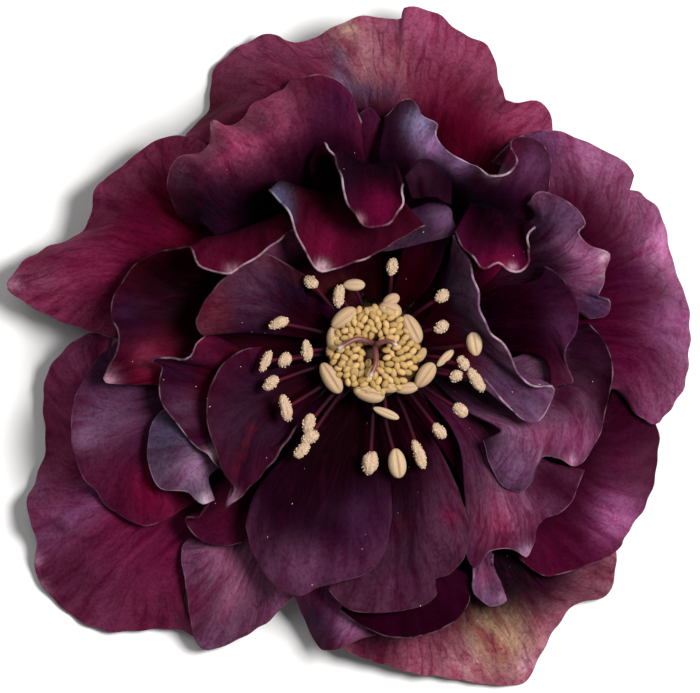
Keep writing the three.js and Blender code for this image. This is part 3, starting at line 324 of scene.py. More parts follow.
     [20.2, 11.9, 16.5], [21.3, 10.5, 16.5], [23.4, 9.6, 16.5], [23, 8, 15.5], [22.8, 6.5, 14.5],
     [22.3, 5.2, 13.4], [23.5, 4.8, 13], [23.2, 3.5, 12.4], [21.5, 3.1, 12]]]},
  {"name": "middle_petal_left_small", "ring": 1, "azimuth": -152, "veins": 0.4, "rim": 0.5,
   "tones": ["#381c2a", "#3e2a38", "#4c344a"],
   "washesOfToneAndLight": [
    [-20.6, -8.2, 2.8, "#38344a", 0.85], [-18.3, -12, 1.8, "#845f80", 0.7],
    [-16.8, -15.2, 0.8, "#b49aaa", 0.8]],
   "lines": [
    [[-10, -9, 10], [-12, -6, 10]],
    [[-16.5, -12.5, 13], [-18.5, -10, 13.5], [-18, -7, 12.5]],
    [[-16, -15, 13], [-17.1, -15.4, 13.5], [-17.7, -15.2, 13], [-18.5, -14.3, 12.5], [-19.7, -14, 12],
     [-21.3, -13.9, 11.5], [-22.1, -13, 11.8], [-22.7, -11.3, 12], [-22.8, -10, 12], [-22.5, -8.2, 11.8],
     [-21.5, -6.3, 11], [-20, -5.5, 11]]]},
  {"name": "middle_petal_left", "ring": 1, "azimuth": 172, "veins": 0.5, "rim": 0.15,
   "tones": ["#22000c", "#120003", "#2e020e"],
   "washesOfToneAndLight": [
    [-21.8, -1.4, 2.6, "#5c0a28", 0.85], [-22.9, -0.6, 1.2, "#7c3048", 0.6],
    [-25, 3.5, 2.6, "#1c0a20", 0.8], [-21, 7, 3, "#100208", 0.8], [-26.2, -2.6, 1, "#704058", 0.5],
    [-26.8, -2.9, 0.7, "#b890a2", 0.8]],
   "lines": [
    [[-16, -3, 11.3], [-19, 0, 11.6], [-19, 4.5, 11.4], [-14, 7.5, 11.5]],
    [[-21.5, -3.4, 11.8], [-24, -3.4, 11.8], [-26.8, -3.3, 11.8], [-27.2, -2.7, 12], [-26.3, -1.2, 13.5],
     [-25.6, 0.5, 14], [-25.7, 2, 14], [-26.4, 3.3, 13], [-26.3, 5, 12.5], [-25.5, 6.5, 12.5],
     [-23.7, 8.8, 13], [-21.2, 10, 14], [-18.7, 10.2, 14.5], [-17.5, 8.8, 14]]]},
  {"name": "middle_petal_right_cup", "ring": 1, "azimuth": 12, "veins": 0.4, "rim": 0.08,
   "tones": ["#060004", "#18000a", "#361028"],
   "washesOfToneAndLight": [
    [19.6, -2.6, 1.4, "#54283f", 0.7], [19.3, 2.6, 2, "#44203f", 0.7], [18, 7, 2, "#1c061a", 0.8],
    [17, -2.2, 2, "#2c0212", 0.8]],
   "lines": [
    [[12, 6, 11], [13, 3, 10.8], [13, 0, 10.6]],
    [[16, 7, 13.2], [17.8, 3, 13.4], [17, -1, 12.8]],
    [[16.8, 8.3, 14.6], [17.9, 7.8, 15], [19.7, 6, 14.5], [20.3, 4, 14.5], [20.1, 2, 14.5],
     [19.1, 0.3, 14.5], [19.2, -1.5, 14], [19.9, -3.2, 14], [18.5, -3.5, 13.5], [17.5, -4, 13.5]]]},
  {"name": "inner_petal_hood", "ring": 2, "azimuth": 66, "veins": 0.4, "rim": 0,
   "tones": ["#1c0414", "#14040f", "#160510"],
   "washesOfToneAndLight": [
    [3.8, 17.9, 1.1, "#3e2236", 0.7], [7.6, 16.3, 1.9, "#0c020a", 1], [5.6, 14.8, 1.5, "#160410", 0.9]],
   "lines": [
    [[2.2, 11, 11.8], [4, 11, 12], [6.2, 9.6, 12]],
    [[2.9, 17, 20], [4.4, 18.7, 20.6], [6.2, 18.3, 20], [7.4, 16.6, 18.8]],
    [[3.6, 15.2, 21.6], [5, 15.2, 21.6], [6.6, 15, 21.2], [7.5, 14.5, 20.4]]]},
  {"name": "inner_petal_top_lip", "ring": 2, "azimuth": 90, "veins": 0.4, "rim": 0.5,
   "tones": ["#180204", "#180208", "#2c0416"],
   "washesOfToneAndLight": [
    [0.6, 14.1, 2.3, "#600630", 0.8], [-3.3, 17.3, 1.9, "#0c0514", 0.95], [0.4, 18.6, 3, "#060006", 1],
    [-1.6, 13, 0.4, "#b48c96", 0.7]],
   "lines": [
    [[-5, 13, 11.8], [-2, 14, 11.6], [1.2, 13.5, 11.4]],
    [[-6.5, 18.5, 16.5], [-4, 20, 17], [-1, 18.5, 17], [2, 18.5, 17.5]],
    [[-5.2, 20.7, 19], [-4, 19, 21], [-3.2, 17.5, 22], [-3.1, 15.5, 23], [-2.5, 14, 23.5], [-1.5, 12.6, 24],
     [-0.5, 12.2, 24], [0.7, 12.4, 24], [2, 13.3, 23.5], [2.8, 14.7, 23], [2.9, 16.5, 22.5]]]},
  {"name": "inner_petal_right_lip", "ring": 2, "azimuth": 42, "veins": 0.5, "rim": 0.48,
   "tones": ["#180109", "#120206", "#380422"],
   "washesOfToneAndLight": [
    [12.7, 8.3, 1.9, "#64082e", 0.8], [11.4, 13.8, 3, "#060004", 1], [15, 13.4, 2.2, "#120210", 1],
    [13.6, 8.1, 0.4, "#b48ca4", 0.7]],
   "lines": [
    [[8, 10, 12.5], [10, 9, 12.5], [11.5, 7, 12.5]],
    [[9.5, 14.5, 15], [12.5, 13.8, 14.5], [15.2, 12.4, 15.8]],
    [[8, 11.8, 21], [8.6, 10.3, 21.5], [9.6, 9.1, 22], [10.7, 8.1, 22.5], [12.2, 8.7, 22.5],
     [13.3, 8.1, 22.5], [14.6, 7.9, 22], [15.4, 8.8, 21.5], [15.5, 10.1, 21], [15.1, 11, 20.5],
     [15.9, 12.3, 19]]]},
  {"name": "inner_petal_left", "ring": 2, "azimuth": -170, "veins": 0.6, "rim": 0.35,
   "tones": ["#0a0105", "#300410", "#300a22"],
   "washesOfToneAndLight": [
    [-17.6, 1.2, 1.7, "#540a24", 0.65], [-16.4, -4.4, 1.5, "#46041a", 0.85],
    [-19.3, -6, 1.7, "#4c3048", 0.6], [-19.6, -2, 1.8, "#280e26", 0.6],
    [-16.2, -10.4, 0.7, "#a88ca0", 0.7]],
   "lines": [
    [[-10, -8, 12], [-12, -4.5, 12], [-11.5, -0.5, 12]],
    [[-15.3, -12, 14], [-16.2, -11.2, 15], [-16.7, -10.3, 15], [-17.7, -9.8, 14.5], [-19.3, -8, 14],
     [-20.8, -6.2, 13.5], [-21.5, -4.8, 13.5], [-21.6, -3.3, 13.5], [-21.3, -1.7, 14.5], [-22.3, -1, 15],
     [-21, -0.5, 15.5], [-19.5, -0.9, 16], [-18.3, -0.4, 16], [-17.7, 0.8, 15.5], [-16.5, 1.7, 14.5]]]},
  {"name": "inner_petal_bottom_right", "ring": 2, "azimuth": -72, "veins": 1, "rim": 0.1,
   "tones": ["#140107", "#36182a", "#3c1c2e"],
   "washesOfToneAndLight": [
    [4.8, -18.8, 2.8, "#4c2a40", 0.6], [2.5, -23.5, 2.2, "#4c2440", 0.5], [7.4, -16.5, 1, "#5c0c28", 0.5],
    [2.8, -17.5, 0.8, "#5c0c28", 0.4]],
   "lines": [
    [[5.6, -8.5, 12], [3.8, -10, 12.4], [0, -10, 10.8]],
    [[8.1, -13.4, 13.9], [5.4, -17.4, 14.8], [2, -19.6, 11.6], [-2.5, -19, 11.2]],
    [[9, -15.8, 13.4], [9.3, -18.2, 13], [8.8, -20.8, 12.6], [7.5, -22.4, 12], [5.9, -23, 12],
     [6.3, -24.2, 11.8], [5, -25.4, 11.6], [2.5, -26.1, 11.4], [-0.5, -26.3, 11.2], [-2.5, -26, 11],
     [-4, -24.8, 10.8], [-4.7, -23.8, 10.8]]]},
  {"name": "inner_petal_top_left_lip", "ring": 2, "azimuth": 118, "veins": 0.4, "rim": 0.55,
   "tones": ["#1e0108", "#180206", "#340616"],
   "washesOfToneAndLight": [
    [-9.6, 15.3, 1, "#525a74", 0.9], [-9.1, 13.9, 0.8, "#4a5068", 0.8], [-8.7, 12.9, 0.6, "#42465c", 0.7],
    [-5, 10.3, 2.6, "#560826", 0.8], [-1, 15.5, 2.4, "#1e0208", 0.7], [-5.3, 8.1, 0.6, "#c4a2b2", 0.9]],
   "lines": [
    [[-5.5, 9.5, 12.5], [-3, 11, 13], [0.5, 11.5, 13]],
    [[-9, 16.5, 16], [-5, 15.5, 15.5], [-1, 15.3, 16], [2.2, 15.2, 19]],
    [[-10.5, 16, 21.5], [-9.1, 14.5, 21.5], [-8.3, 12.5, 21.5], [-7.5, 10.7, 21.5], [-6.4, 9.1, 21.5],
     [-5.4, 7.8, 21.5], [-4, 8, 21.5], [-2.3, 8.5, 21.5], [-1, 9, 21.5], [1, 10.2, 21], [3, 11.3, 20.6],
     [5, 12.3, 20.4]]]},
  {"name": "inner_petal_right", "ring": 2, "azimuth": 8, "veins": 0.5, "rim": 0.5,
   "tones": ["#40081a", "#442a42", "#5c3a54"],
   "washesOfToneAndLight": [
    [8.8, 6.3, 1.7, "#54425c", 0.8], [10.8, 2.6, 1.4, "#5c4a64", 0.7], [13.3, -2.4, 1.4, "#4c3450", 0.6],
    [15.5, -5.5, 1.5, "#44304c", 0.6], [13, 0.6, 0.7, "#a08496", 0.6]],
   "lines": [
    [[7.2, 7.6, 13], [7.5, 4.5, 13.6], [8.5, 0, 13.5], [8.5, -3, 12.5]],
    [[8, 11.5, 20], [9.5, 8, 20.5], [10.5, 4.5, 20.5], [11.5, 1.8, 20], [13.2, -0.2, 19], [13.7, -1.2, 18],
     [15, -3, 17], [16.5, -3.6, 16.5], [17.8, -4, 16], [17.4, -5.5, 15.5], [16.5, -7, 15], [15.5, -7.3, 15],
     [14, -6.5, 15], [12.5, -4.5, 15], [11, -2.8, 14.5]]]},
  {"name": "inner_petal_fold", "ring": 3, "azimuth": 62, "veins": 0.4, "rim": 0,
   "tones": ["#240008", "#1a0318", "#342232"],
   "washesOfToneAndLight": [
    [3, 12.6, 1.6, "#30203c", 0.6], [6.6, 13.2, 1.2, "#5c4060", 0.8], [8.2, 12.4, 0.8, "#1a0814", 0.8]],
   "lines": [
    [[2.4, 8.5, 13.6], [4.5, 8, 14], [5.6, 6.8, 14.4]],
    [[3.4, 13.8, 18.4], [5.5, 14.6, 18.8], [7.2, 14, 19], [8, 12.5, 19]],
    [[0.5, 9.8, 18], [2.5, 10.1, 18], [5, 10.7, 18.5], [7, 11.2, 19], [8, 11.8, 19.5]]]},
  {"name": "inner_petal_left_lip", "ring": 3, "azimuth": 138, "veins": 0.6, "rim": 0.45,
   "tones": ["#300722", "#140306", "#380618"],
   "washesOfToneAndLight": [[-14, 8.8, 2.2, "#4c0822", 0.8], [-14.2, 7.8, 0.6, "#b8909e", 0.8]],
   "lines": [
    [[-9, 6, 12.6], [-8, 8.5, 13.2], [-5.8, 9.2, 13.8]],
    [[-16, 11, 15.5], [-13, 12, 15.5], [-9, 13.5, 16]],
    [[-18.5, 10.3, 19.5], [-17.9, 9.2, 19.5], [-17.2, 8.3, 19.5], [-15.7, 7.8, 19.5], [-14.3, 7.5, 19.5],
     [-13, 8.4, 19.5], [-11.3, 9.6, 19.5], [-9.5, 11.2, 19.5], [-7.8, 12.1, 19]]]},
  {"name": "inner_petal_top_small", "ring": 3, "azimuth": 112, "veins": 0.4,
   "tones": ["#381215", "#16000c", "#6a3452"],
   "lines": [
    [[-6, 5.8, 13.6], [-4, 7, 13.8], [-2, 7.5, 13.8]],
    [[-11, 9.8, 16.3], [-9.5, 11.6, 16.8], [-6, 12.4, 17], [-3, 11.8, 16.8], [-1, 10.5, 16]]]},
  {"name": "inner_petal_upper_left", "ring": 3, "azimuth": 162, "veins": 0.8, "rim": 0.12,
   "tones": ["#1a0108", "#180618", "#421c28"],
   "washesOfToneAndLight": [[-12.3, 6.2, 2.6, "#4a2c44", 0.7], [-16, 4, 2, "#501a28", 0.7]],
   "lines": [
    [[-9.5, 1.5, 13.2], [-10, 4.5, 14], [-7, 5.6, 14.6]],
    [[-15, 2.2, 14.5], [-17.3, 1.6, 16], [-17.8, 2.8, 16.8], [-17.1, 4.6, 17], [-16, 6.3, 17.2],
     [-14.7, 7.6, 17.4], [-13.2, 8.6, 17.6], [-11.3, 9.6, 17.6], [-9, 8.8, 17], [-7, 7.5, 16]]]},
  {"name": "inner_petal_bottom_left", "ring": 3, "azimuth": -112, "veins": 0.5, "rim": 0.08,
   "tones": ["#0e0104", "#180210", "#3c1a30"],
   "washesOfToneAndLight": [
    [-8.2, -21.5, 2.6, "#603654", 0.8], [-4, -22, 2.4, "#502444", 0.6], [-1, -17, 2.5, "#321430", 0.6]],
   "lines": [
    [[1, -8.6, 12.2], [-2.8, -10, 13], [-7.6, -9, 13.5]],
    [[1.5, -13.5, 13.7], [-2, -16.3, 15.1], [-7, -16.9, 15.7], [-11.8, -14, 14.4]],
    [[1.6, -16.2, 13.3], [1.4, -18.8, 13], [0.5, -21, 12.9], [-1, -22.3, 12.9], [-3.3, -23.1, 12.8],
     [-5.7, -23.8, 12], [-7.7, -24.5, 11.5], [-9.2, -24, 11.5], [-10.9, -22.5, 12], [-12.2, -20.4, 12.5],
     [-12.9, -17.4, 13.2]]]},
  {"name": "inner_petal_lower_left", "ring": 3, "azimuth": -158, "veins": 0.5, "rim": 0.1,
   "tones": ["#1a0108", "#220a1c", "#30081c"],
   "washesOfToneAndLight": [
    [-14.5, -7.5, 2.8, "#2e1628", 0.6], [-12.4, -8, 0.5, "#4c0a18", 0.6],
    [-12.9, -9.3, 0.5, "#4c0a18", 0.6], [-13.4, -10.6, 0.5, "#4c0a18", 0.6],
    [-13.8, -11.9, 0.5, "#4c0a18", 0.5], [-14.5, -14.8, 0.8, "#9c7890", 0.7]],
   "lines": [
    [[-6.5, -5.5, 12.5], [-8.5, -4.5, 12.5], [-8.5, -1.5, 12.5]],
    [[-10, -10.5, 14.5], [-12.5, -6.5, 14], [-12, -2, 14]],
    [[-7.5, -7.5, 15], [-9.5, -10.2, 15.5], [-11.7, -12.8, 16], [-13.5, -14.8, 16], [-14.9, -15.8, 15.5],
     [-13.9, -13.8, 16.5], [-15.1, -12.3, 16.5], [-15.7, -10.7, 16], [-16.5, -8.5, 15.5],
     [-16.8, -6.2, 15.5], [-16.6, -4.2, 15.5], [-15.9, -2.3, 15.5], [-14.8, -0.9, 15.5],
     [-13.5, -0.1, 15.5], [-11.3, 0.3, 14.5]]]},
  {"name": "middle_petal_top_fold", "ring": 1, "azimuth": 90, "veins": 0.4,
   "tones": ["#16000a", "#28061a", "#300c22"],
   "washesOfToneAndLight": [
    [-0.7, 22.4, 1, "#3a1028", 0.8], [-0.4, 20.4, 1, "#3a0e26", 0.85], [-0.2, 18, 1, "#380a22", 0.8],
    [-1.9, 21, 0.8, "#1a000c", 0.8], [-1.6, 24, 0.7, "#44203a", 0.7], [0, 16.4, 0.8, "#30021a", 0.7]],
   "lines": [
    [[-1.4, 14, 8.7], [0, 14.2, 8.6], [1.2, 13.8, 8.6]],
    [[-1.9, 20, 12.2], [-0.3, 20.4, 12.6], [1.2, 19.8, 12]],
    [[-2.1, 22.6, 13.4], [-1.4, 23.8, 14], [-0.5, 24.2, 14.2], [0.3, 23.4, 13.6], [0.9, 22, 12.6]]]},
]

blade = {
    "thickness": 0.36,  # at the middle
    "edge": 0.13,  # at the margin
    "taper": (0.35, 1.6),  # share of the swell at the very margin, and reach of the thinning
    "columnStep": 0.5,
    "columns": (24, 150),  # fewest and most
    "rows": 56,
    "rowCrowding": 1.4,  # rows crowd towards the margin
    "backShade": 0.94,  # share of the upper side's tone
    "backTone": "#641a40",
    "backTint": 0.02,
    "toMiddle": (0.35, 0.72),  # where along the blade the heart's tone gives way
    "toEdge": (0.7, 1.0),
    "plainRim": 0.25,  # paleness of a rim where the petal names none
    "patternGap": 7.3,  # keeps the veins of any two petals apart
    "seed": 411,
}

# Heights and pitches of the waves in a blade.
waves = {
    "sway": (0.17, 8.5),
    "frill": (0.09, 2.9),
    "fold": (0.04, 4.2),
    "dimple": (0.04, 4.5),
}


def splinePoints(points, shares):
    points = np.asarray(points, float)
    gaps = np.maximum(1e-6, np.linalg.norm(np.diff(points, axis=0), axis=1))
    marks = np.concatenate([[0], np.cumsum(gaps)])
    slopes = np.empty_like(points)
    slopes[0] = (points[1] - points[0]) / gaps[0]
    slopes[-1] = (points[-1] - points[-2]) / gaps[-1]
    slopes[1:-1] = (points[2:] - points[:-2]) / (marks[2:] - marks[:-2])[:, None]
    at = np.asarray(shares) * marks[-1]
    span = np.clip(np.searchsorted(marks, at) - 1, 0, len(points) - 2)
    width = gaps[span]
    t = ((at - marks[span]) / width)[:, None]
    width = width[:, None]
    return (
        points[span] * (1 + 2 * t) * (1 - t) ** 2
        + slopes[span] * t * (1 - t) ** 2 * width
        + points[span + 1] * t * t * (3 - 2 * t)
        + slopes[span + 1] * t * t * (t - 1) * width
    )


def clawLine(petal):
    ring = petal["ring"]
    place = [other["name"] for other in petals if other["ring"] == ring].index(petal["name"])
    height = claws["heights"][ring] + claws["step"] * place
    radius = claws["radii"][ring] + claws["gap"]
    half = claws["width"] / 2 / radius
    middle = math.radians(petal["azimuth"])
    turns = [middle + half, middle, middle - half]
    return [[radius * math.cos(a), radius * math.sin(a), height] for a in turns]


def smoothStep(low, high, value):
    t = np.clip((value - low) / (high - low), 0, 1)
    return t * t * (3 - 2 * t)


def gridNormals(points):
    right = np.gradient(points, axis=1)
    along = np.gradient(points, axis=0)
    normals = np.cross(right, along)
    return normals / np.maximum(1e-9, np.linalg.norm(normals, axis=2, keepdims=True))


# The living surface: a wavy margin, slack folds along the blade and shallow dimples.
def ruffle(points, u, v, spread, length, random):
    phases = random.uniform(0, fullTurn, 12)
    sway, swayPitch = waves["sway"]
    frill, frillPitch = waves["frill"]
    fold, foldPitch = waves["fold"]
    dimple, dimplePitch = waves["dimple"]
    swayTurns = fullTurn * max(1.5, spread / swayPitch) * u
    frillTurns = fullTurn * max(3, spread / frillPitch) * u + 1.5 * np.sin(7 * u + phases[2])
    foldTurns = fullTurn * max(2, spread / foldPitch) * u
    lift = sway * np.sin(swayTurns + phases[0]) * v ** 2.5
    lift += frill * np.sin(frillTurns + phases[1]) * v ** 7
    lift += fold * np.sin(foldTurns + phases[3]) * np.sin(math.pi * v) * smoothStep(0.45, 0.9, v)
    for k in range(3):
        pitch = dimplePitch - k
        across = np.sin(fullTurn * (u * spread / pitch + 0.6 * v) + phases[4 + k])
        along = np.sin(fullTurn * v * length / (pitch * 1.4) + phases[7 + k])
        lift += dimple * across * along * smoothStep(0.3, 0.8, v)
    widths = np.linalg.norm(np.diff(points, axis=1), axis=2).sum(axis=1, keepdims=True)
    return points + gridNormals(points) * (lift * np.minimum(1, widths / spread) ** 1.5)[..., None]


def bladeSurface(petal, random):
    lines = [clawLine(petal)] + petal["lines"]
    spread = float(np.linalg.norm(np.diff(lines[-1], axis=0), axis=1).sum())
    columns = int(np.clip(round(spread / blade["columnStep"]), *blade["columns"]))
    across = np.linspace(0, 1, columns + 1)
    along = 1 - (1 - np.linspace(0, 1, blade["rows"] + 1)) ** blade["rowCrowding"]
    drawn = np.array([splinePoints(line, across) for line in lines])
    surface = np.stack([splinePoints(drawn[:, c], along) for c in range(columns + 1)], axis=1)
    u, v = np.meshgrid(across, along)
    steps = np.linalg.norm(np.diff(surface, axis=0), axis=2)
    lengths = np.concatenate([np.zeros((1, columns + 1)), np.cumsum(steps, axis=0)])
    length = float(lengths[-1].mean())
    surface = ruffle(surface, u, v, spread, length, random)
    return surface, u, v, spread, length, lengths[-1] - lengths


def closeness(surface, x, y, reach):
    return np.exp(-((surface[..., 0] - x) ** 2 + (surface[..., 1] - y) ** 2) / reach ** 2)


def petalTones(petal, surface, v):
    heart, middle, edge = (linearTone(t) for t in petal["tones"])
    first = smoothStep(*blade["toMiddle"], v)[..., None]
    second = smoothStep(*blade["toEdge"], v)[..., None]
    tones = heart * (1 - first) + middle * first
    tones = tones * (1 - second) + edge * second
    # Washes: the petal's own colour patches, painted shade in hollows and under overlaps, painted highlights
    # on crests and tips.
    for x, y, reach, tone, strength in petal.get("washesOfToneAndLight", []):
        weight = (strength * closeness(surface, x, y, reach))[..., None]
        tones = tones * (1 - weight) + linearTone(tone) * weight
    return tones.reshape(-1, 3)


pollenShares = [0.01, 0.03, 0.08, 0.08]  # share of the cells that hold a grain, ring by ring
# Where pollen has fallen thicker: x, y, reach and share.
dustClouds = [
    [-14.5, -1, 1.6, 0.5], [-11.5, -17.5, 2, 0.25], [15.5, -5.5, 2.2, 0.4], [13, -9.5, 2.5, 0.3],
    [9.5, 12, 2.5, 0.2], [5, -26, 2.5, 0.25], [-2, 10.5, 3, 0.15],
]


def dusting(petal, surface):
    clouds = sum(most * closeness(surface, x, y, reach) for x, y, reach, most in dustClouds)
    return pollenShares[petal["ring"]] + clouds


# Two skins on either side of the drawn surface, and a wall round their margin.
def shellFaces(rows, columns):
    count = rows * columns
    grid = np.arange(count).reshape(rows, columns)
    a, b, c, d = grid[:-1, :-1], grid[:-1, 1:], grid[1:, 1:], grid[1:, :-1]
    top = np.stack([a, b, c, d], axis=-1).reshape(-1, 4)
    below = np.stack([a, d, c, b], axis=-1).reshape(-1, 4) + count
    rim = np.concatenate([grid[0, :-1], grid[:-1, -1], grid[-1, :0:-1], grid[:0:-1, 0]])
    after = np.roll(rim, -1)
    wall = np.stack([rim, rim + count, after + count, after], axis=-1)
    return np.concatenate([top, below, wall]).tolist()


def petalPiece(petal, index, material):
    random = np.random.default_rng(blade["seed"] + index)
    surface, u, v, spread, length, toMargin = bladeSurface(petal, random)
    least, reach = blade["taper"]
    taper = np.minimum(1, least + (1 - least) * toMargin / reach)
    half = (blade["edge"] + (blade["thickness"] - blade["edge"]) * taper)[..., None] / 2
    offset = gridNormals(surface) * half
    vertices = np.concatenate([(surface + offset).reshape(-1, 3), (surface - offset).reshape(-1, 3)])
    tones = petalTones(petal, surface, v)
    back = tones * blade["backShade"] + linearTone(blade["backTone"]) * blade["backTint"]
    layer = np.full_like(u, index * blade["patternGap"])
    place = np.stack([(u - 0.5) * spread, v * length, layer], axis=-1)
    addPiece(petal["name"], material, vertices, shellFaces(*u.shape), np.concatenate([tones, back]), {
        "place": [place, place],
        "toMargin": [toMargin, toMargin],
        "veining": np.full(2 * u.size, petal["veins"]),
        "pollen": [dusting(petal, surface)] * 2,
        "paleness": np.full(2 * u.size, petal.get("rim", blade["plainRim"])),
    })


# Petal tissue: thin, waxy cells over coloured sap. It gives a satin sheen, partly from the shader's sheen
# and partly a painted sheen of lighter streaks along the blade, a net of wine veins, crimson freckles
# and a bloodless rim. A patch is scale, detail, roughness, where it begins and is full, and its most and
# least.
petalTissue = {
    "surface": {
        "Roughness": 0.5, "IOR": 1.42, "Specular IOR Level": 0.01,
        "Sheen Weight": 0.015, "Sheen Roughness": 0.4, "Sheen Tint": opaque(linearTone("#8474b8")),
        "Subsurface Weight": 0.03, "Subsurface Radius": (1.0, 0.12, 0.35), "Subsurface Scale": 0.7 * mm,
    },
    "mainVeins": (1.7, 8.0, 0.07),  # pitch across, run along and width
    "netVeins": (0.7, 1.3, 0.15),
    "netStrength": 0.28,
    "veinStrength": 0.6,
    "bend": 1.7,  # how far the veins wander
    "stretch": (0.8, 0.22, 1),  # of streaks and painted sheen, along the blade
    "veined": (0.3, 2.0, 0.5, 0.35, 0.62, 1.0, 0.0),
    "freckles": (2.6, 4.0, 0.65, 0.46, 0.7, 0.6, 0.0),
    "bloom": (1.1, 5.0, 0.72, 0.42, 0.62, 1.0, 0.0),
    # Painted sheen: lighter streaks along the blade, and below how much lighter they make the colour.
    "satin": (0.42, 2.0, 0.5, 0.45, 0.7, 0.8, 0.0),
    "streaks": (0.9, 3.0, 0.6, 0.46, 0.66, 1.0, 0.0),
    "paleRim": (0.55, 3.0, 0.5, 0.44, 0.66, 1.0, 0.06),
    "rimWidth": 0.15,
    "bloomGain": (1.3, 1.42, 1.28),
    "paintedSheenGain": (1.5, 1.75, 1.6),
    "streakGain": (0.72, 0.3, 0.5),
    "freckleTone": "#a8486c",
    "veinTone": "#340420",
    "pollenTone": "#c9ab92",
    "rimTone": "#d4b4c2",
    "pollenPitch": 1.2,  # cells to a millimetre
    "pollenReach": 0.07,
    "relief": 0.06 * mm,
}


def petalMaterial(name, spec):
    material, tree = newMaterial(name)
    outputs = {"tone": 0, "place": 1, "veining": 2, "toMargin": 2, "pollen": 2, "paleness": 2}
    tone, place, veining, toMargin, pollen, paleness = (
        addNode(tree, "Attribute", attribute_name=key).outputs[output] for key, output in outputs.items()
    )
    warp = addNode(tree, "TexNoise", {"Vector": place, "Scale": 0.3, "Detail": 2.0})
    bend = spec["bend"]
    shift = addNode(tree, "VectorMath", {
        0: warp.outputs["Color"], 1: (bend, bend, 0), 2: (-bend / 2, -bend / 2, 0),
    }, operation="MULTIPLY_ADD")
    bent = addNode(tree, "VectorMath", {0: place, 1: shift}, operation="ADD")
    drawn = addNode(tree, "VectorMath", {0: bent, 1: spec["stretch"]}, operation="MULTIPLY")

    def veinNet(pitch, run, width):
        stretched = addNode(tree, "VectorMath", {0: bent, 1: (1 / pitch, 1 / run, 1)}, operation="MULTIPLY")
        cells = addNode(tree, "TexVoronoi", {"Vector": stretched, "Scale": 1.0}, feature="DISTANCE_TO_EDGE")
        return addNode(tree, "MapRange", {
            "Value": cells, "From Min": 0.0, "From Max": width, "To Min": 1.0, "To Max": 0.0,
        }, interpolation_type="SMOOTHSTEP")

    def patches(vector, scale, detail, roughness, low, high, most, least):
        noise = addNode(tree, "TexNoise", {
            "Vector": vector, "Scale": scale, "Detail": detail, "Roughness": roughness,
        })
        return addNode(tree, "MapRange", {
            "Value": noise, "From Min": low, "From Max": high, "To Min": least, "To Max": most,
        })

    netVeins = addNode(tree, "Math", {0: veinNet(*spec["netVeins"]), 1: spec["netStrength"]},
                       operation="MULTIPLY")
    veins = addNode(tree, "Math", {0: veinNet(*spec["mainVeins"]), 1: netVeins}, operation="MAXIMUM")
    shown = addNode(tree, "Math", {0: veining, 1: patches(place, *spec["veined"])}, operation="MULTIPLY")
    veinMask = addNode(tree, "Math", {0: veins, 1: shown}, operation="MULTIPLY")
    streakStrength = addNode(tree, "Math", {0: veining, 1: 0.5, 2: 0.45}, operation="MULTIPLY_ADD")
    grains = addNode(tree, "TexVoronoi", {"Vector": place, "Scale": spec["pollenPitch"]})
    rare = addNode(tree, "SeparateColor", {"Color": grains.outputs["Color"]})
    chosen = addNode(tree, "Math", {0: rare, 1: pollen}, operation="LESS_THAN")
    small = addNode(tree, "Math", {0: grains, 1: spec["pollenReach"]}, operation="LESS_THAN")
    margin = addNode(tree, "MapRange", {
        "Value": toMargin, "From Min": 0.02, "From Max": spec["rimWidth"], "To Min": 1.0, "To Max": 0.0,
    }, interpolation_type="SMOOTHSTEP")
    rim = addNode(tree, "Math", {0: margin, 1: patches(place, *spec["paleRim"])}, operation="MULTIPLY")

    colour = tone
    for mask, strength, layer, blend in [
        (patches(bent, *spec["bloom"]), veining, spec["bloomGain"], "MULTIPLY"),
        # painted sheen: lighter streaks along the blade
        (patches(drawn, *spec["satin"]), 1.0, spec["paintedSheenGain"], "MULTIPLY"),
        (patches(drawn, *spec["streaks"]), streakStrength, spec["streakGain"], "MULTIPLY"),
        (patches(place, *spec["freckles"]), 1.0, linearTone(spec["freckleTone"]), "MULTIPLY"),
        (veinMask, spec["veinStrength"], linearTone(spec["veinTone"]), "MIX"),
        (chosen, small, linearTone(spec["pollenTone"]), "MIX"),
        (rim, paleness, linearTone(spec["rimTone"]), "MIX"),
    ]:
        part = addNode(tree, "Math", {0: mask, 1: strength}, operation="MULTIPLY")
        colour = addNode(tree, "Mix", {mixShare: part, mixUnder: colour, mixOver: opaque(layer)},
                         data_type="RGBA", blend_type=blend)

    grain = addNode(tree, "TexNoise", {"Vector": place, "Scale": 6.0, "Detail": 3.0})
    ridges = addNode(tree, "Math", {0: veinMask, 1: 0.4}, operation="MULTIPLY")
    relief = addNode(tree, "Math", {0: grain, 1: 0.35, 2: ridges}, operation="MULTIPLY_ADD")
    bump = addNode(tree, "Bump", {"Height": relief, "Strength": 0.35, "Distance": spec["relief"]})
    finishMaterial(tree, {**spec["surface"], "Base Color": colour, "Normal": bump})
    return material


rosePetal = petalMaterial("rosePetalTissue", petalTissue)
for index, petal in enumerate(petals):
    petalPiece(petal, index, rosePetal)
print("petals made")

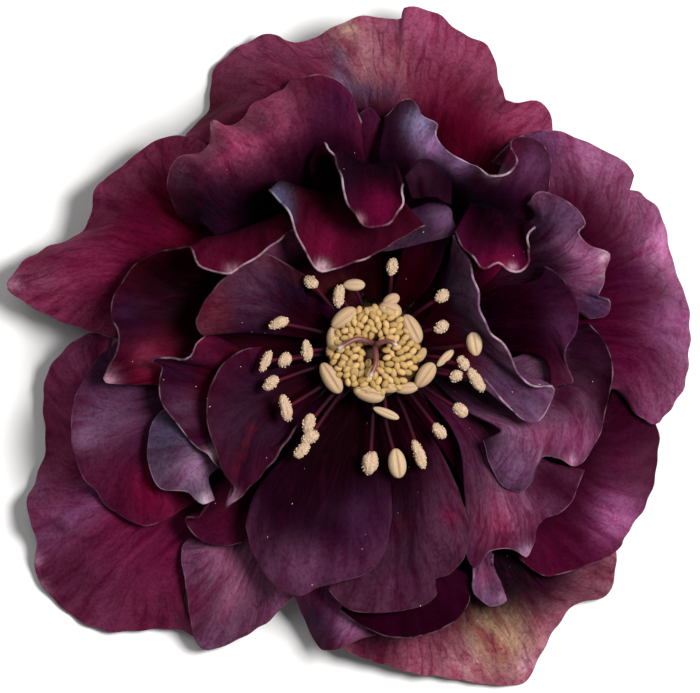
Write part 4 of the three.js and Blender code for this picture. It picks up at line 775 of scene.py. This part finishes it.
# The boss, stamens, styles and stalk repeat the same places as the solids, with finer forms.
# Profiles are radius and height. Anthers are x, y, z, heading, half length and half breadth.
boss = {
    "seed": 23,
    "buds": 128,
    "bud": [0.49, 0.33, 0.42],
    "spread": (1.3, 18.5),  # square of the first bud's radius, and what the last one's adds
    "dome": (16.25, 2, 0.085, 2.4),  # height, radius of the flat top, fall and its power
    "hollow": (1.8, 0.4),  # radius and depth under the styles
    "jitter": (0.12, 0.06, 0.2, 110),  # of radius, angle, height and heading
    "budTones": ["#ba9862", "#c8a670", "#ac8a54", "#bc9a64"],
    "coreTone": "#3c2418",
    "core": [
        [0, 12.8], [2.2, 12.9], [3.9, 13.9], [4.6, 14.6], [4.5, 15.4], [3.8, 15.9], [2.4, 16.1],
        [1.4, 15.7], [0.9, 15], [0, 14.9],
    ],
    "longTone": "#ae8e66",
    "long": [
        [-0.4, 3.8, 15.7, 0, 0.95, 0.55], [4.6, -0.5, 15.6, 62, 0.8, 0.45], [-2.9, -1.6, 16, -56, 0.95, 0.4],
        [-2.1, -1.9, 16.1, -60, 0.9, 0.38], [-4.1, -0.7, 15.4, -62, 0.8, 0.45],
        [-4.5, 0, 15.1, 75, 0.7, 0.4],
    ],
    "plumpTone": "#b89a7a",
    "plump": [
        [-3.1, 3.2, 15.6, 37, 1.5, 0.85], [-4, 1, 15.3, -82, 1.4, 0.85], [-4.4, -2.8, 15.2, -58, 1.75, 0.88],
        [-0.6, -4.3, 15.4, -14, 1.6, 0.92], [5, -2.5, 15.3, 54, 1.45, 0.85], [3.7, 2.1, 15.6, -63, 1.6, 0.85],
        [1.5, 4, 15.4, -20, 1.2, 0.85], [1.5, -3.7, 15.5, 8, 1, 0.6], [3.1, -3.8, 15.2, 6, 1.2, 0.6],
        [1.6, 5, 15.3, 25, 0.9, 0.6],
    ],
}
stamens = {
    "seed": 77,
    "collarTone": "#4a2a2c",
    "collar": [[0, 11.7], [3.2, 11.7], [3.7, 12], [3.3, 12.4], [0, 12.4]],
    "rootRadius": 3.3,
    "rootHeight": 11.95,
    "filament": [0.23, 0.2],
    "knee": (0.62, 0.58),  # shares of the way out and up
    "bow": 0.35,  # most that a filament bends aside
    "sunk": 0.1,  # its end below the middle of the anther
    "filamentTones": ["#0e0308", "#1c0510", "#2a0615", "#520422"],  # from root to anther
    "openTone": "#c6aa90",
    "closedTone": "#c0a484",
    "closed": [2, 6, 8, 14, 16],  # places in the list of anthers
    "grains": 60,
    "grain": 0.0901,  # from the middle to a corner
    "grainTone": "#dcc2a4",
    "anthers": [
        [-6.4, 6.8, 16.6, -45, 0.75, 0.6], [-3.6, 5.4, 15.1, 85, 1.15, 0.55], [-2.1, 6.5, 15.1, 0, 1.1, 0.6],
        [1.7, 8.3, 15.7, 80, 0.85, 0.55], [6.7, 5.4, 16, 30, 0.75, 0.6], [6.6, 2.3, 15.4, 35, 0.75, 0.58],
        [9.9, 0.6, 17.2, 100, 1.2, 0.78], [8.8, -1.3, 15.9, -60, 0.75, 0.52], [7, -0.8, 15, 45, 1.15, 0.42],
        [8.1, -2.6, 15.3, 30, 0.68, 0.55], [10.1, -3, 16, -58, 1.35, 0.58], [8.5, -6, 14.8, -40, 0.8, 0.6],
        [6.4, -8.1, 14.8, -55, 0.88, 0.56], [4.4, -10.4, 15.2, -70, 1.5, 0.55],
        [2.2, -11.3, 15.6, -82, 1.5, 0.9], [-0.5, -11.3, 15.6, 80, 1.15, 0.78],
        [1.1, -6.3, 14.4, -22, 1.4, 0.45], [-6.6, -7.3, 16.7, 70, 0.95, 0.6],
        [-6.5, -8.7, 16.6, 35, 0.9, 0.65], [-7.3, -10, 17, 45, 0.95, 0.55],
        [-8.9, -5.8, 16.1, -76, 1.35, 0.58], [-10.4, -3.3, 16, 40, 0.9, 0.58],
        [-9, -1, 15.8, 60, 0.78, 0.6], [-10.9, -1.1, 16.1, 65, 1.15, 0.45],
        [-6.8, -0.1, 14.8, -84, 1.05, 0.56], [-9.6, 2.7, 16, 22, 1, 0.56],
    ],
}
styles = {
    "foot": [-0.1, 0.5, 15.4],
    "paths": [
        [[-0.3, 0.7, 17], [-1.8, 1.1, 17.9], [-3.7, 0.1, 18.3]],
        [[0, 0.2, 17], [0.1, -1.2, 17.8], [-0.5, -2.7, 18.2]],
        [[0.2, 0.6, 17], [1.2, 0.9, 17.7], [2.2, 0.5, 18.1]],
    ],
    "radii": [0.3, 0.22],
    "tones": [  # foot, painted near black as shade where it leaves the boss; shaft; stigma
        "#140608", "#1a0a0c", "#2c1214", "#5e3230", "#744240", "#7a4644", "#7a4644", "#7a4644", "#c8c4c8",
    ],
}
stalk = {
    "profile": [
        [0, 0], [1.9, 0], [1.8, 0.8], [2, 1.9], [3.6, 2.5], [5.7, 3], [5.8, 3.4], [4.6, 3.8],
        [4.6, 4.6], [4.5, 6.4], [4.25, 8.4], [3.95, 10.1], [3.4, 10.9], [1.8, 11.3], [0, 11.4],
    ],
    "tone": "#76804f",
    "upperTone": "#180a0e",
    "flush": (3, 4.6),  # heights between which the tone changes
    "ridges": 0.015,
}


def seededNumbers(seed):
    state = seed
    while True:
        state = (state * 1664525 + 1013904223) % 4294967296
        yield state / 4294967296


# A closed skin over rings of points, and a lid at each end.
def ringFaces(rings, sides):
    faces = []
    for first in range(0, (rings - 1) * sides, sides):
        for k in range(sides):
            after = (k + 1) % sides
            faces.append([first + k, first + after, first + sides + after, first + sides + k])
    faces.append(list(range(sides))[::-1])
    faces.append([(rings - 1) * sides + k for k in range(sides)])
    return faces


def turnProfile(profile, tone, sides, ridges=0.0):
    line = splinePoints([[r, z, 0] for r, z in profile], np.linspace(0, 1, 5 * len(profile)))
    turns = np.arange(sides) * fullTurn / sides
    radius = np.maximum(0.002, line[:, 0:1]) * (1 + ridges * np.cos(6 * turns))
    height = np.repeat(line[:, 1:2], sides, axis=1)
    vertices = np.stack([radius * np.cos(turns), radius * np.sin(turns), height], axis=-1)
    return vertices.reshape(-1, 3), ringFaces(len(line), sides), linearTone(tone)


def rod(points, radii, tones, sides, steps, roundEnd=False):
    shares = np.linspace(0, 1, steps + 1)
    if roundEnd:
        shares = 1 - (1 - shares) ** 1.5
    line = splinePoints(points, shares)
    along = np.gradient(line, axis=0)
    along /= np.linalg.norm(along, axis=1, keepdims=True)
    side = np.stack([-along[:, 1], along[:, 0], np.zeros(len(line))], axis=1)
    side /= np.maximum(1e-6, np.linalg.norm(side, axis=1, keepdims=True))
    up = np.cross(along, side)
    radius = radii[0] + (radii[1] - radii[0]) * shares
    if roundEnd:
        left = np.linalg.norm(line - line[-1], axis=1)
        radius = radius * np.sqrt(np.clip(1 - np.clip(1 - left / radii[1], 0, 0.999) ** 2, 0.02, 1))
    turns = np.arange(sides) * fullTurn / sides
    sideways = side[:, None, :] * (radius[:, None] * np.cos(turns))[..., None]
    upwards = up[:, None, :] * (radius[:, None] * np.sin(turns))[..., None]
    vertices = (line[:, None, :] + sideways + upwards).reshape(-1, 3)
    stops = np.array([linearTone(t) for t in tones])
    marks = np.linspace(0, 1, len(stops))
    ringTones = np.stack([np.interp(shares, marks, stops[:, c]) for c in range(3)], axis=1)
    return vertices, ringFaces(steps + 1, sides), np.repeat(ringTones, sides, axis=0)


budForm = {"bands": 10, "sides": 14}
longForm = {"bands": 14, "sides": 24, "seam": 0.2}
closedForm = {"bands": 22, "sides": 48, "seam": 0.36}
openForm = {"bands": 26, "sides": 30, "seam": 0.22, "rough": 0.075}


# An anther: two lobes side by side with a seam between them. An open one is rough with pollen.
def bean(at, heading, halves, tone, bands, sides, seam=0.0, rough=0.0, random=None):
    polar = np.linspace(0.02, math.pi - 0.02, bands + 1)[:, None]
    turns = np.arange(sides) * fullTurn / sides
    x = np.cos(polar) * np.ones(sides)
    y = np.sin(polar) * np.cos(turns)
    z = np.sin(polar) * np.sin(turns)
    pinch = 1 - seam * np.exp(-(y / 0.17) ** 2) * (z > -0.3) * np.sin(polar) ** 0.5
    shape = np.stack([x * halves[0], y * halves[1] * (1 + 0.08 * x), z * halves[2] * pinch], axis=-1)
    if rough:
        phases = random.uniform(0, fullTurn, 6)
        directions = [[4.1, 2.46, 1.23], [-2.35, 4.7, 3.29], [17, 6.8, 3.4], [-5.7, 19, 9.5]]
        first, second, third, fourth = (
            np.sin(shape @ direction + phase) for direction, phase in zip(directions, phases)
        )
        grit = random.random(shape.shape[:2]) - 0.5
        shape *= 1 + rough * (0.6 * (first + second) + 0.8 * third * fourth + 0.9 * grit)[..., None]
    turn = math.radians(heading)
    c, s = math.cos(turn), math.sin(turn)
    shape = shape.reshape(-1, 3) @ np.array([[c, s, 0], [-s, c, 0], [0, 0, 1]])
    faces = [face[::-1] for face in ringFaces(bands + 1, sides)]
    # The seam is painted darker: painted shade in its groove.
    tones = linearTone(tone) * (0.7 + 0.3 * pinch.reshape(-1, 1))
    return shape + np.array(at), faces, tones, 1.0 if rough else 0.12


# A grain of pollen is an icosahedron with corners at a distance of one.
golden = (1 + math.sqrt(5)) / 2
grainCorners = np.array([
    np.roll([0, a, b], k) for k in range(3) for a in (1, -1) for b in (golden, -golden)
]) / math.hypot(1, golden)
grainFaces = []
for face in itertools.combinations(range(12), 3):
    corners = grainCorners[list(face)]
    if np.linalg.norm(corners - np.roll(corners, 1, axis=0), axis=1).max() < 1.1:
        grainFaces.append(face if np.linalg.det(corners) > 0 else face[::-1])


def bossParts():
    numbers = seededNumbers(boss["seed"])
    parts = [turnProfile(boss["core"], boss["coreTone"], sides=48)]
    spiral = math.pi * (3 - math.sqrt(5))
    first, added = boss["spread"]
    top, flat, fall, power = boss["dome"]
    hollow, depth = boss["hollow"]
    for bud in range(boss["buds"]):
        jitter = [size * (next(numbers) - 0.5) for size in boss["jitter"]]
        radius = math.sqrt(first + added * (bud + 0.5) / boss["buds"]) + jitter[0]
        angle = bud * spiral + jitter[1]
        height = top - fall * max(0, radius - flat) ** power - (depth if radius < hollow else 0)
        at = [radius * math.cos(angle), radius * math.sin(angle), height + jitter[2]]
        tone = boss["budTones"][bud % len(boss["budTones"])]
        parts.append(bean(at, math.degrees(angle) + jitter[3], boss["bud"], tone, **budForm))
    for *at, heading, long, broad in boss["long"]:
        parts.append(bean(at, heading, [long, broad, broad], boss["longTone"], **longForm))
    for *at, heading, long, broad in boss["plump"]:
        parts.append(bean(at, heading, [long, broad, broad], boss["plumpTone"], **closedForm))
    return parts


def filamentPath(at, bow):
    reach = math.hypot(at[0], at[1])
    x, y = at[0] / reach, at[1] / reach
    out, rise = stamens["knee"]
    foot, top = stamens["rootHeight"], at[2] - stamens["sunk"]
    root = [stamens["rootRadius"] * x, stamens["rootRadius"] * y, foot]
    kneeHeight = (1 - rise) * foot + rise * at[2] - stamens["sunk"]
    knee = [out * reach * x - bow * y, out * reach * y + bow * x, kneeHeight]
    return [root, knee, [at[0], at[1], top]]


def stamenParts():
    random = np.random.default_rng(stamens["seed"])
    parts = [turnProfile(stamens["collar"], stamens["collarTone"], sides=40)]
    for place, (*at, heading, long, broad) in enumerate(stamens["anthers"]):
        path = filamentPath(at, random.uniform(-stamens["bow"], stamens["bow"]))
        parts.append(rod(path, stamens["filament"], stamens["filamentTones"], sides=10, steps=16))
        halves = np.array([long, broad, broad * 0.9])
        if place in stamens["closed"]:
            parts.append(bean(at, heading, halves, stamens["closedTone"], **closedForm))
            continue
        parts.append(bean(at, heading, halves, stamens["openTone"], **openForm, random=random))
        turn = math.radians(heading)
        for _ in range(stamens["grains"]):
            ray = random.normal(size=3)
            ray /= np.linalg.norm(ray)
            spot = ray * halves * 1.02
            x = spot[0] * math.cos(turn) - spot[1] * math.sin(turn)
            y = spot[0] * math.sin(turn) + spot[1] * math.cos(turn)
            size = stamens["grain"] * random.uniform(0.6, 1.1)
            corners = grainCorners * size + np.array([at[0] + x, at[1] + y, at[2] + spot[2]])
            parts.append((corners, grainFaces, linearTone(stamens["grainTone"])))
    return parts


# Powdered skin: how much of the stain and grit shows goes with a part's powder.
def powderMaterial(name, spec):
    material, tree = newMaterial(name)
    tone = addNode(tree, "Attribute", attribute_name="tone")
    powder = addNode(tree, "Attribute", attribute_name="powder").outputs["Fac"]
    place = addNode(tree, "TexCoord").outputs["Object"]
    noise = addNode(tree, "TexNoise", {
        "Vector": place, "Scale": spec["grainScale"], "Detail": 5.0, "Roughness": 0.7,
    })
    mask = addNode(tree, "MapRange", {"Value": noise, "From Min": 0.42, "From Max": 0.68, "To Max": 0.5})
    stain = addNode(tree, "Math", {0: mask, 1: powder}, operation="MULTIPLY")
    stained = addNode(tree, "Mix", {
        mixShare: stain, mixUnder: tone, mixOver: opaque(linearTone(spec["stain"])),
    }, data_type="RGBA", blend_type="MULTIPLY")
    relief = addNode(tree, "Math", {0: noise, 1: powder}, operation="MULTIPLY")
    bump = addNode(tree, "Bump", {"Height": relief, "Strength": 0.5, "Distance": 0.05 * mm})
    finishMaterial(tree, {
        "Roughness": spec["roughness"], "IOR": 1.4, "Specular IOR Level": spec["shine"],
        "Subsurface Weight": spec["glow"], "Subsurface Radius": (1.0, 0.6, 0.3),
        "Subsurface Scale": 0.4 * mm, "Base Color": stained, "Normal": bump,
    })
    return material


def addParts(node, material, parts):
    vertices, faces, tones, powder = [], [], [], []
    base = 0
    for partVertices, partFaces, partTones, *dust in parts:
        vertices.append(partVertices)
        faces.extend([[base + i for i in face] for face in partFaces])
        tones.append(np.broadcast_to(partTones, (len(partVertices), 3)))
        powder.append(np.full(len(partVertices), dust[0] if dust else 0.3))
        base += len(partVertices)
    powder = {"powder": np.concatenate(powder)}
    addPiece(node, material, np.concatenate(vertices), faces, np.concatenate(tones), powder)


# Pollen and anther walls: dry powdery skin, matt, with a granular cream surface.
pollenSkin = powderMaterial("pollenSkin", {
    "roughness": 0.62, "shine": 0.15, "glow": 0.15, "grainScale": 4500, "stain": "#a07a4e",
})
# Styles: waxy flesh, a little gloss.
styleFlesh = powderMaterial("styleFlesh", {
    "roughness": 0.4, "shine": 0.5, "glow": 0.2, "grainScale": 1800, "stain": "#8a5048",
})
# Stalk: ribbed green skin flushed with brown-red.
stalkSkin = powderMaterial("stalkSkin", {
    "roughness": 0.55, "shine": 0.3, "glow": 0.05, "grainScale": 900, "stain": "#7a5a4a",
})

addParts("anther_boss", pollenSkin, bossParts())
addParts("stamens", pollenSkin, stamenParts())
addParts("styles", styleFlesh, [
    rod([styles["foot"]] + path, styles["radii"], styles["tones"], sides=16, steps=30, roundEnd=True)
    for path in styles["paths"]
])
stalkVertices, stalkFaces, green = turnProfile(stalk["profile"], stalk["tone"], 64, stalk["ridges"])
flush = smoothStep(*stalk["flush"], stalkVertices[:, 2:3])
stalkTones = green * (1 - flush) + linearTone(stalk["upperTone"]) * flush
addParts("receptacle_and_stalk", stalkSkin, [(stalkVertices, stalkFaces, stalkTones)])
print("boss, stamens, styles and stalk made")

studio = {
    "viewCentre": (-2.5, 0.35),
    "viewHeight": 2000,
    "focusHeight": 11,
    "viewWidth": 70,
    "sensor": 36,
    "farthest": 20,  # metres
    "lights": {  # place, width and power
        "keyLight": ((230, 60, 460), 190, 3.5),
        "fillLight": ((-150, 250, 600), 400, 0.75),
    },
    "skyTone": "#ffffff",
    "sky": 0.14,
    "floor": 1.5,  # metres from the middle to an edge
    "floorTone": "#f4f3f2",
}
scene = bpy.context.scene

for name, (place, width, power) in studio["lights"].items():
    light = bpy.data.lights.new(name, "AREA")
    light.shape = "DISK"
    light.size = width * mm
    light.energy = power
    lamp = addObject(name, light)
    lamp.location = Vector(place) * mm
    lamp.rotation_euler = (-Vector(place)).to_track_quat("-Z", "Y").to_euler()

world = bpy.data.worlds.new("softStudio")
world.use_nodes = True
background = world.node_tree.nodes["Background"]
background.inputs["Color"].default_value = opaque(linearTone(studio["skyTone"]))
background.inputs["Strength"].default_value = studio["sky"]
scene.world = world
scene.view_settings.view_transform = "Standard"

floorMesh = bpy.data.meshes.new("paleFloor")
corners = [[studio["floor"] * x, studio["floor"] * y, 0] for x, y in [(-1, -1), (1, -1), (1, 1), (-1, 1)]]
floorMesh.from_pydata(corners, [], [[0, 1, 2, 3]])
# Matt paper.
paper, paperTree = newMaterial("palePaper")
finishMaterial(paperTree, {"Base Color": opaque(linearTone(studio["floorTone"])), "Roughness": 0.9})
floorMesh.materials.append(paper)
addObject("paleFloor", floorMesh)

camera = addObject("camera", bpy.data.cameras.new("camera"))
camera.data.sensor_width = studio["sensor"]
camera.data.sensor_fit = "HORIZONTAL"
camera.data.lens = studio["sensor"] * (studio["viewHeight"] - studio["focusHeight"]) / studio["viewWidth"]
camera.data.clip_end = studio["farthest"]
camera.location = Vector((*studio["viewCentre"], studio["viewHeight"])) * mm
scene.camera = camera
print("studio made")
